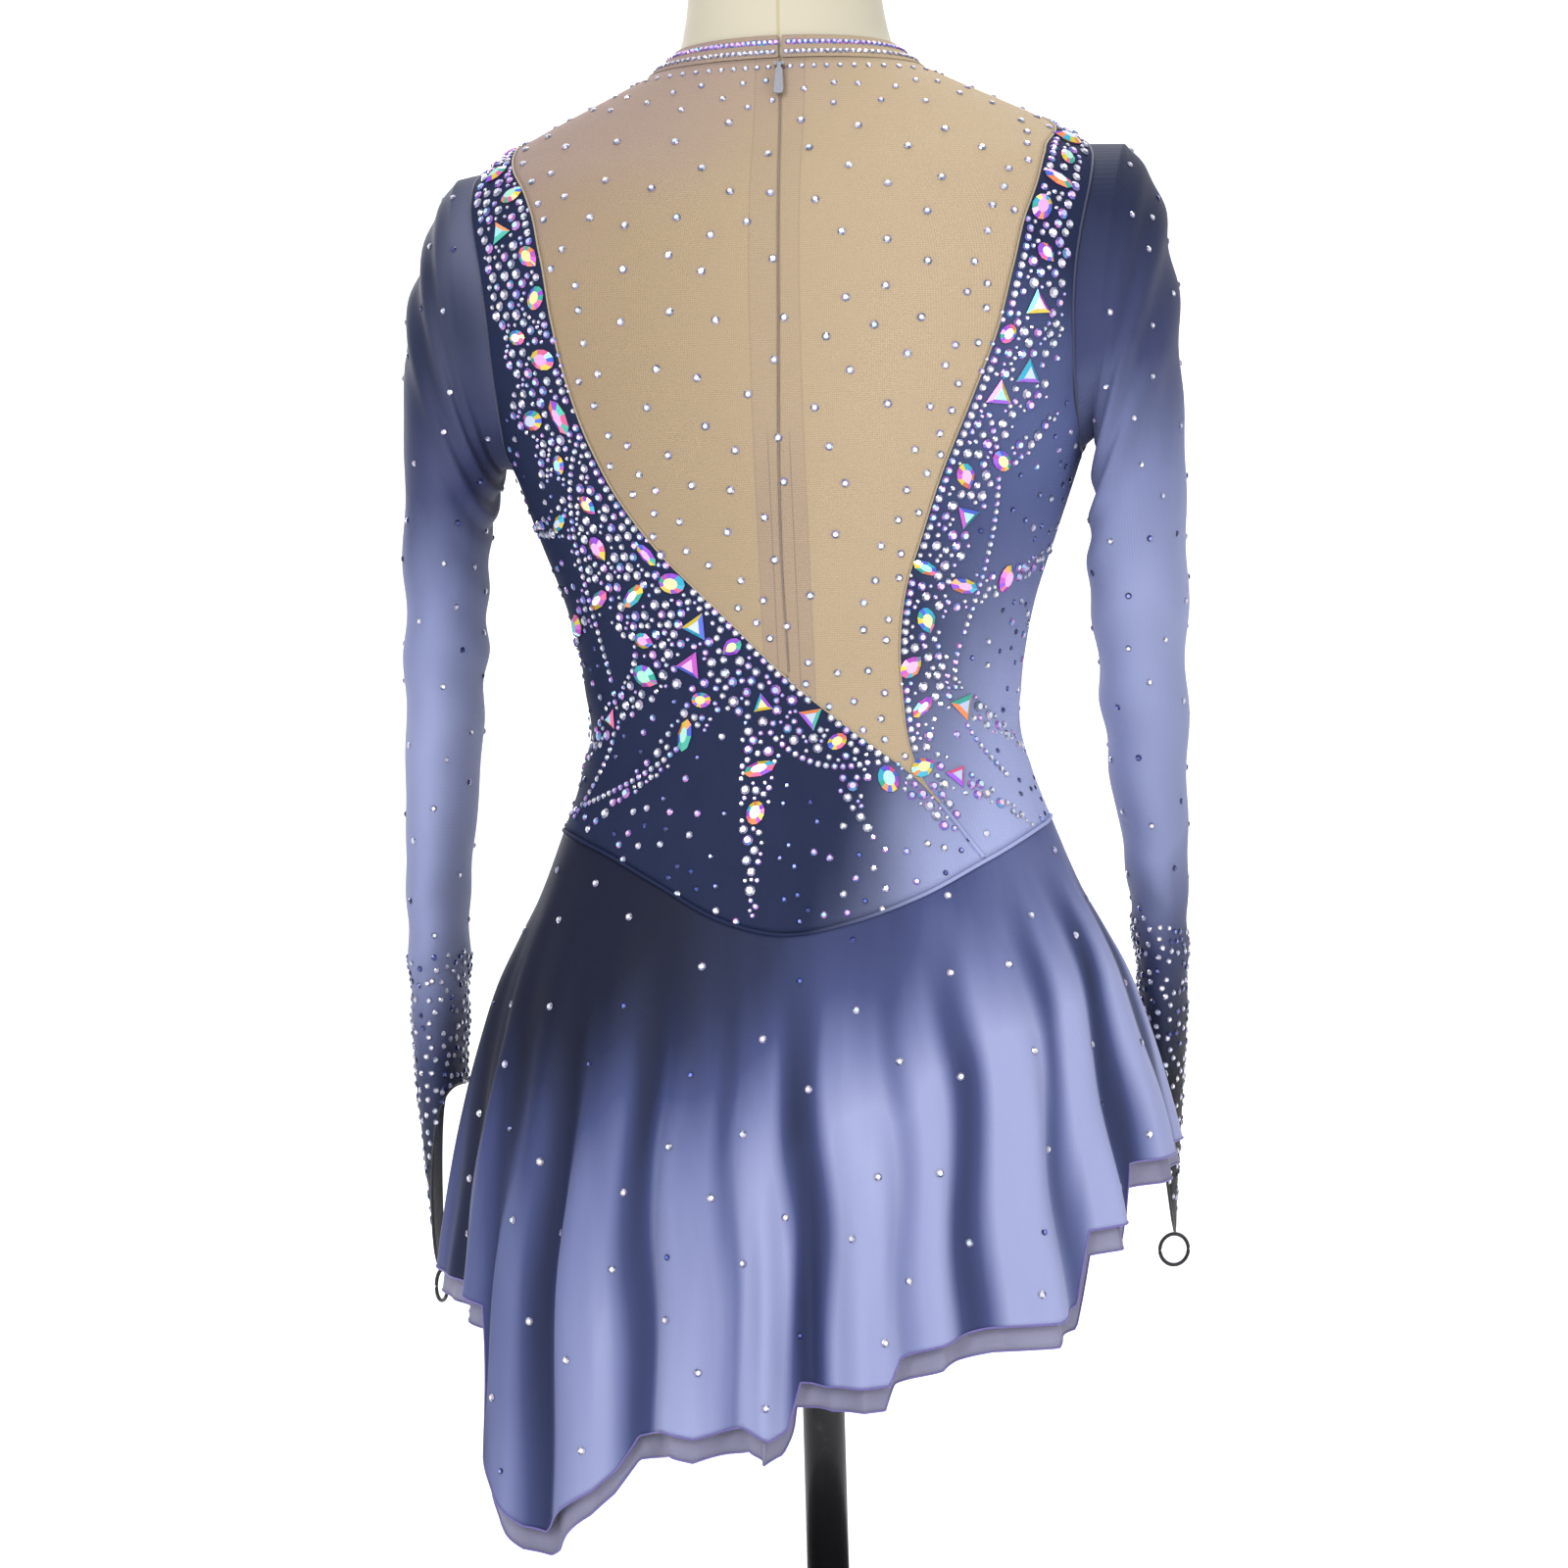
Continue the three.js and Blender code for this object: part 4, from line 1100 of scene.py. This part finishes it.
def colours(*codes):
    """A palette from colour codes."""
    return np.array([dye(code) for code in codes])


# A palette is for the tables, whose bright colours are partly painted highlights, and its darker partner is
# for the facets round them, partly painted shade.
silver = (
    colours("#f6f6fa", "#e8eaf4", "#e4e2ee", "#f2eef4", "#ffffff", "#dcecf4", "#f4f0e4"),
    colours("#8c90a8", "#70749c", "#9488b4", "#a99cb8", "#5c6884", "#a8a8b8", "#74788c", "#c4c0cc"),
)
violet = (
    colours("#d9d0f6", "#f2cfea", "#c4ccf8", "#ece8ff", "#cdeef8"),
    colours("#7a58b8", "#a868b4", "#5060b0", "#6a5a9c", "#b884c8", "#4f8cc0"),
)
midnight = (colours("#5f74c8", "#37488c", "#8fa0e8"), colours("#141a44", "#1f2a66", "#10142c", "#2c3a84"))
fire = (
    colours("#a8eef4", "#f0b4ec", "#f6f0a8", "#c8d4ff", "#ffffff", "#b4f0d8"),
    colours("#38b4d4", "#c455c4", "#e0c83c", "#ee8a50", "#4a68dc", "#3ab09c", "#9a50d8", "#e86a9c"),
)
random = np.random.default_rng(21)


def finish_stones():
    """Foiled glass under a clear gloss: each facet's colour is partly its coating's tint, partly painted
    glints and shade.
    """
    material, place = begin_finish(
        "coated stones", Metallic=0.35, Roughness=0.16, Coat_Weight=0.7, Coat_Roughness=0.04,
    )
    facet = place.node("ShaderNodeAttribute", {"attribute_name": "facet"}, (), "Color")
    return feed(material, Base_Color=facet)


stone_finish = finish_stones()


def lay_stones(name, frames, radii, palette, shape="round", node=None, lift=0.1):
    """Copies one stone to every place: its points times three directions there, joined as arrays."""
    points, normals, alongs = frames
    template, groups = stone_shapes[shape]
    count, corners = len(points), len(template)
    if not count:
        return
    spin = random.uniform(0, 2 * math.pi, count)[:, None]
    alongs = unit(alongs - normals * (alongs * normals).sum(-1, keepdims=True))
    first = alongs * np.cos(spin) + np.cross(normals, alongs) * np.sin(spin)
    second = np.cross(normals, first)
    size = np.broadcast_to(radii, (count,))[:, None, None]
    x, y, z = template.T[..., None]
    spread = x * first[:, None] + y * second[:, None] + z * normals[:, None]
    placed = points[:, None] + spread * size + lift * normals[:, None]
    offsets = (np.arange(count) * corners)[:, None, None]
    faces = [(group[None] + offsets).reshape(-1, group.shape[1]) for group in groups]
    piece = make_mesh(name, placed, faces, stone_finish, node, False)

    def pick(colours_of, group):
        """A random colour of a palette for each face of a group."""
        return colours_of[random.integers(0, len(colours_of), len(faces[group]))]

    # Painted light on the stones: table colours are partly painted highlights, rim colours partly painted
    # shade.
    tables, rims = palette
    crown, wall, back, top = pick(rims, 1), pick(rims, 0), pick(rims, 2), pick(tables, 3)
    loops = np.zeros(len(piece.data.polygons), int)
    piece.data.polygons.foreach_get("loop_total", loops)
    # Painted shade: the walls are darkened to 0.35 and the backs to a half.
    facet_tints_and_glints = np.repeat(np.concatenate([0.35 * wall, crown, 0.5 * back, top]), loops, axis=0)
    attribute = piece.data.attributes.new("facet", "FLOAT_COLOR", "CORNER")
    attribute.data.foreach_set("color", facet_tints_and_glints.reshape(-1))


# %% [markdown]
# ## Where the stones of the back lie
# A place on the back is an angle and a height. A bed of stones runs beside each edge of the mesh, and
# sprays leave the beds: strokes that bend and taper. How deep a place lies in them decides what it gets.

# %% Beds, sprays and strands
# Columns: start_angle, start_height, bend_angle, bend_height, end_angle, end_height, width.
sprays = [
    (-43, 668, -60, 640, -88, 650, 26), (-36, 640, -62, 596, -88, 580, 30),
    (-24, 600, -50, 548, -88, 508, 32), (-14, 578, -36, 524, -62, 478, 24),
    (-2, 562, -14, 512, -8, 424, 28), (10, 550, 18, 512, 26, 464, 18), (34, 516, 52, 506, 72, 474, 22),
    (38, 566, 58, 540, 88, 512, 22), (38, 600, 64, 600, 88, 632, 24), (44, 655, 60, 672, 68, 700, 22),
    (50, 735, 58, 750, 66, 800, 30), (-50, 740, -57, 700, -66, 660, 24),
]
# Columns: start_angle, start_height, bend_angle, bend_height, end_angle, end_height.
strands = [
    (-48, 700, -66, 640, -60, 560), (-60, 560, -58, 520, -72, 484), (-22, 560, -36, 500, -80, 486),
    (-6, 530, 10, 500, 30, 512), (52, 700, 64, 640, 56, 580), (56, 580, 50, 540, 70, 500),
]
# Each side's sign, edge and rows of height and width.
bed_widths = [
    (-1, left_mesh_edge, [
        (490, 12), (530, 34), (560, 50), (600, 52), (650, 44), (700, 40), (760, 44), (820, 64),
    ]),
    (1, right_mesh_edge, [(490, 8), (540, 20), (600, 24), (680, 30), (740, 42), (790, 60), (850, 70)]),
]


def curve_between(row):
    """Points of a quadratic curve from its start, by its bend, to its end: angles, heights and shares."""
    start, bend, end = np.array(row[:6], float).reshape(3, 2)
    t = np.linspace(0, 1, 60)
    angle, height = np.outer(start, (1 - t) ** 2) + np.outer(bend, 2 * t * (1 - t)) + np.outer(end, t**2)
    return angle, height, t


def nearest(points, curve):
    """The distance from each point to the nearest of a curve's points, and which one it is."""
    away = np.linalg.norm(points[:, None] - curve[None], axis=-1)
    return away.min(1), away.argmin(1)


def depth_at(angle, height):
    """How deep places lie in a bed or a spray, in millimetres from its border and negative outside."""
    points = body_point(angle, height)
    depth = np.full(len(points), -60.0)
    for spray in sprays:
        curve_angle, curve_height, t = curve_between(spray)
        away, at = nearest(points, body_point(curve_angle, curve_height))
        depth = np.maximum(depth, spray[6] / 2 * (1 - t[at]) ** 0.8 + 1.2 - away)
    heights = np.linspace(482, 876, 300)
    wander = 1 + 0.16 * np.sin(height / 11) + 0.12 * np.sin(height / 4.7 + 1)
    for side, edge, widths in bed_widths:
        inside = side * (angle - read_table(edge, height)) > 0
        away, _ = nearest(points, body_point(read_table(edge, heights), heights))
        width = read_table(widths, height) * wander
        depth = np.maximum(depth, np.where(inside, np.minimum(away - 1.2, width - away), -away))
    return depth


def on_back_panel(angle, height, margin=2.0):
    """True on the two dark back panels, away from their outer edges."""
    dark = (angle < read_table(left_mesh_edge, height)) | (angle > read_table(right_mesh_edge, height))
    return dark & (np.abs(angle) < outer_edge(height) - margin) & (height > waist_height(angle) + 1)


# %% Lay them one after another
class Layout:
    """The stones laid so far: their angles, heights, points, radii and kinds."""

    def __init__(self):
        self.places = np.zeros((0, 2))
        self.points = np.zeros((0, 3))
        self.radii = np.zeros(0)
        self.kinds = np.zeros(0, int)

    def add(self, angle, height, radius, kind, clearance=0.35):
        """Keeps each new stone that clears all stones before it, in order."""
        angle, height = np.atleast_1d(angle), np.atleast_1d(height)
        radius, kind = np.broadcast_to(radius, angle.shape), np.broadcast_to(kind, angle.shape)
        points = body_point(angle, height)
        count = len(self.radii)
        all_points = np.concatenate([self.points, points])
        all_radii = np.concatenate([self.radii, radius])
        kept = list(range(count))
        for i in range(count, len(all_radii)):
            apart = np.linalg.norm(all_points[kept] - all_points[i], axis=-1)
            if not len(kept) or (apart - all_radii[kept]).min() > all_radii[i] + clearance:
                kept.append(i)
        new = np.array(kept[count:], int) - count
        self.places = np.concatenate([self.places, np.column_stack([angle, height])[new]])
        self.points, self.radii = all_points[kept], all_radii[kept]
        self.kinds = np.concatenate([self.kinds, kind[new]])
        return len(new)


def walked(points):
    """The length walked along a row of points, from its start to each of them."""
    return np.concatenate([[0], np.cumsum(np.linalg.norm(np.diff(points, axis=0), axis=-1))])


def along_curve(angle, height, pitch):
    """Evenly spaced places along a curve on the body."""
    lengths = walked(body_point(angle, height))
    at = np.arange(pitch / 2, lengths[-1], pitch)
    return np.interp(at, lengths, angle), np.interp(at, lengths, height)


layout = Layout()
arcs = np.linspace(-90, 90, 400)
arc_lengths = walked(body_point(arcs, 640.0))


def scattered(count):
    """Random places over the back, even by the length round it."""
    across = random.uniform(0, arc_lengths[-1], count)
    return np.interp(across, arc_lengths, arcs), random.uniform(424, 874, count)


angle, height = scattered(5000)
chosen = np.flatnonzero(on_back_panel(angle, height, 5) & (depth_at(angle, height) > 5.5))
kind_names = ["round", "oval", "navette", "drop", "triangle", "fine", "blue"]
kinds = random.choice(4, len(chosen), p=[0.4, 0.16, 0.22, 0.22]) + 1
# Large stones are kept apart by a radius that is wider than their own.
large_spacing, large_radii = 9.6, [5.4, 6.4, 7.4]
layout.add(angle[chosen], height[chosen], large_spacing, kinds, 0)
layout.radii[:] = random.choice(large_radii, len(layout.radii))
print("large stones:", len(layout.radii))
heights = np.linspace(500, 874, 300)
for edge, side in ((left_mesh_edge, -1), (right_mesh_edge, 1)):
    row_angle, row_height = along_curve(read_table(edge, heights) + side * 1.5, heights, 5.4)
    inside = np.abs(row_angle) < outer_edge(row_height) - 2
    layout.add(row_angle[inside], row_height[inside], 2.3, 0, 0.1)
for strand in strands:
    layout.add(*along_curve(*curve_between(strand)[:2], 4.6), 1.9, 0, 0.1)
print("with rows and strands:", len(layout.radii))


# %% Fill the beds
def hexagonal(pitch, jitter):
    """A hexagonal grid over the back, even by the length round it, with small random shifts."""
    rows = np.arange(426, 874, pitch * math.sqrt(3) / 2)
    across, height = np.meshgrid(np.arange(0, arc_lengths[-1], pitch), rows)
    across = across + (np.arange(len(rows)) % 2)[:, None] * pitch / 2 + random.normal(0, jitter, across.shape)
    height = height + random.normal(0, jitter, height.shape)
    return np.interp(across.reshape(-1), arc_lengths, arcs), height.reshape(-1)


# Columns: pitch, jitter, radii, kind, least depth in a bed.
for pitch, jitter, sizes, kind, least_depth in (
    (6.3, 0.35, [2.6, 2.8, 3.1], 0, 1.8), (4.6, 0.4, [1.9, 2.2], 0, 0.8), (3.2, 0.3, [1.25, 1.5], 5, 0.0),
):
    angle, height = hexagonal(pitch, jitter)
    inside = np.flatnonzero(on_back_panel(angle, height))
    inside = inside[depth_at(angle[inside], height[inside]) > least_depth]
    added = layout.add(angle[inside], height[inside], random.choice(sizes, len(inside)), kind)
    print(f"pitch {pitch}: {added} more")
angle, height = scattered(1600)
inside = np.flatnonzero(on_back_panel(angle, height, 3))
blue = random.random(len(inside)) < 0.55
layout.add(angle[inside], height[inside], np.where(blue, 1.6, 2.1), np.where(blue, 6, 0), 4.2)
print("stones on the dark panels of the back:", len(layout.radii))

# %% Make the stones of the back
angle, height = layout.places.T
frames = body_frames(angle, height)
on_left = (angle < 0) | (angle < read_table(left_mesh_edge, height))
tinted = random.random(len(on_left)) < 0.45
for number, name in enumerate(kind_names):
    large = 0 < number < 5
    shape, grow, lift = (name, 0.82, 0.2) if large else ("round", 1.0, 0.1)
    for side, sided in (("left", on_left), ("right", ~on_left)):
        node = f"stone_band_{side}" if name == "round" else None
        for tint, toned, plain in (("clear", ~tinted, silver), ("violet", tinted, violet)):
            chosen = (layout.kinds == number) & sided & toned
            palette = fire if large else midnight if name == "blue" else plain
            chosen_frames = [part[chosen] for part in frames]
            radii = layout.radii[chosen] * grow
            lay_stones(f"stones_{name}_{side}_{tint}", chosen_frames, radii, palette, shape, node, lift)

# %% Lay the loose stones of the mesh, the front and the collar
loose = Layout()
angle, height = hexagonal(9.0, 2.5)
order = random.permutation(len(angle))
angle, height = angle[order], height[order]
left, right = (read_table(edge, height) for edge in (left_mesh_edge, right_mesh_edge))
sheer = (angle > left + 1.5) & (angle < right - 1.5) & (height < 872)
angle, height = angle[sheer], height[sheer]
edges = [body_point(read_table(edge, heights), heights) for edge in (left_mesh_edge, right_mesh_edge)]
close = nearest(body_point(angle, height), np.concatenate(edges))[0] < 22
loose.add(angle[close], height[close], 2.2, 0, 7.0)
loose.add(angle[~close], height[~close], 2.4, 0, 16.0)
lay_stones("stones_on_mesh", body_frames(*loose.places.T), loose.radii, silver)
shoulder = Layout()
shoulder.add(random.uniform(-85, 85, 300), random.uniform(876, 892, 300), 1.9, 0, 9.0)
shoulder.add(random.uniform(96, 264, 500), random.uniform(500, 892, 500), 1.9, 0, 20.0)
angle, height = shoulder.places.T
clear = np.abs(np.abs(angle) - 90) > armhole_reach(height) + 3
lay_stones("stones_front", body_frames(angle[clear], height[clear]), 1.9, silver)
row_angles = np.linspace(7.0, 359.5, 108)
lay_stones("collar_stones_1", body_frames(row_angles, 908.0, 0.95), 1.7, silver)
lay_stones("collar_stones_2", body_frames(row_angles + 1.6, 913.6, 0.95), 1.85, violet)
lay_stones("collar_stones_loose", body_frames(np.linspace(9, 357, 56), 899.5), 1.7, silver)
print("loose stones laid:", len(loose.radii) + int(clear.sum()) + 2 * len(row_angles) + 56)


# %% Lay the stones of the skirt and the sleeves
def spaced_apart(points, distance):
    """Numbers of the points that are farther than a distance from all points kept before them."""
    kept = [0]
    for i in range(1, len(points)):
        if np.linalg.norm(points[kept] - points[i], axis=-1).min() > distance:
            kept.append(i)
    return np.array(kept)


skirt_spacing, arm_spacing, wrist_spacing = 33.0, 22.0, 5.2
skirt_angle = random.uniform(0, 360, 900)
frames = skirt_frames(skirt_angle, random.random(900) ** 1.15 * 0.94 + 0.02)
kept = spaced_apart(frames[0], skirt_spacing)
dark_ones = random.random(len(kept)) < 0.22
for name, choice, palette, radius in (("clear", ~dark_ones, silver, 2.3), ("blue", dark_ones, midnight, 1.8)):
    lay_stones(f"skirt_stones_{name}", [part[kept[choice]] for part in frames], radius, palette)
print("skirt stones:", len(kept))

for side in ("left", "right"):
    count = len(sleeve_rings[side])
    turns = random.uniform(0, 360, 1500)
    arm_places = random.uniform(0.8, count + 0.9, 500)
    alongs = np.concatenate([arm_places, random.uniform(count - 1.3, count + 0.95, 1000)])
    point, normal, along = frames_on(lambda t, a: sleeve_point(side, t, a), turns, alongs, 0.5, 0.01)
    middle = sleeve_point(side, turns + 180, alongs)
    normal = normal * np.sign(((point - middle) * normal).sum(-1, keepdims=True))
    arm = spaced_apart(point[:500], arm_spacing)
    wrist = 500 + spaced_apart(point[500:], wrist_spacing)
    for name, kept, radius in (("arm", arm, 1.9), ("wrist", wrist, 1.8)):
        blue = random.random(len(kept)) < 0.3
        for tint, choice, palette in (("clear", kept[~blue], silver), ("blue", kept[blue], midnight)):
            frames = point[choice], normal[choice], along[choice]
            lay_stones(f"sleeve_{name}_{side}_{tint}", frames, radius, palette)
    print("sleeve stones:", side, len(arm) + len(wrist))

# %% [markdown]
# ## Sheets of cloth
# A cloth simulation needs to know each panel's size laid flat, whether it is stretched or hangs, and what
# it rests on. Only the sizes are worked out and printed here: those measured on its own grid, where stretch
# and folds are flattened out.


def declare(piece):
    """A sheet's name, its cut's width and length, which hold at least the area of its own faces, and that
    area.
    """
    mesh = piece.data
    areas = np.zeros(len(mesh.polygons))
    mesh.polygons.foreach_get("area", areas)
    width, length = cut_sizes[piece.name]
    area = float(areas.sum())
    length = max(length, math.ceil(area / width * 10000) / 10000)
    return [piece.name, width, length, round(area, 4)]


for piece in (left_panel, right_panel, left_mesh, right_mesh, yoke, front, collar, tape):
    print(declare(piece))
for piece in (outer_skirt, under_skirt):
    print(declare(piece))
for side, piece in sleeves.items():
    print(declare(piece))

# %% [markdown]
# ## Floor and light
# A plain pale floor and soft light from large lamps, with two small lamps that make the stones glint.


# %% The stage
def make_floor():
    """A wide pale floor that curves up far behind the dress."""
    data = bpy.data.meshes.new("floor")
    depth = np.array([-4, 2.0, 3.0, 3.6, 4.0, 4.0])
    height = np.array([0, 0, 0.05, 0.4, 1.2, 5.0])
    x, row = np.meshgrid([-6.0, 6.0], np.arange(6))
    points = np.stack([x, depth[row], height[row]], -1).reshape(-1, 3)
    data.from_pydata(points.tolist(), [], grid_faces(6, 2)[:, ::-1].tolist())
    data.polygons.foreach_set("use_smooth", [True] * len(data.polygons))
    floor = bpy.data.objects.new("floor", data)
    bpy.context.scene.collection.objects.link(floor)
    material, place = begin_finish("floor paint", Roughness=0.85)
    data.materials.append(feed(material, Base_Color=place.noise(3.0).blend(dye("#f4f4f4"), dye("#ececec"))))
    floor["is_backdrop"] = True


def make_lamp(name, place, aim, size, power):
    """A square lamp at a place, turned to its aim."""
    data = bpy.data.lights.new(name, "AREA")
    data.size = size
    data.energy = power
    lamp = bpy.data.objects.new(name, data)
    bpy.context.scene.collection.objects.link(lamp)
    lamp.location = place
    x, y, z = np.subtract(place, aim)
    lamp.rotation_euler = (math.atan2(math.hypot(x, y), z), 0, math.atan2(y, x) + math.pi / 2)


make_floor()
# Columns: name, place, aim, size in metres, power in watts.
for lamp in (
    ("key_lamp", (-0.9, -2.6, 2.1), (0, 0, 0.5), 1.2, 38),
    ("fill_lamp", (2.2, -1.9, 1.0), (0, 0, 0.5), 1.5, 20),
    ("top_lamp", (0.2, 0.6, 2.8), (0, 0, 0.6), 1.6, 22),
    ("back_lamp", (-1.6, 2.4, 1.6), (0, 0, 0.6), 1.4, 26),
    ("wall_lamp", (0, 1.5, 3.2), (0, 4, 0.9), 1.5, 95),
    ("glint_left", (-0.9, -2.2, 0.9), (0, 0, 0.65), 0.12, 7),
    ("glint_right", (0.9, -2.3, 1.7), (0, 0, 0.65), 0.12, 7),
):
    make_lamp(*lamp)
world = bpy.data.worlds.new("studio")
bpy.context.scene.world = world
world.use_nodes = True
sky = world.node_tree.nodes["Background"]
sky.inputs["Color"].default_value = (0.95, 0.96, 1.0, 1)
sky.inputs["Strength"].default_value = 0.62
bpy.context.scene.view_settings.view_transform = "Standard"

# %% Print the sizes and finish
corners = {"cad": cad_box, "visual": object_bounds()}
sizes = {name: [[float(value) for value in corner] for corner in box] for name, box in corners.items()}
print(sizes)
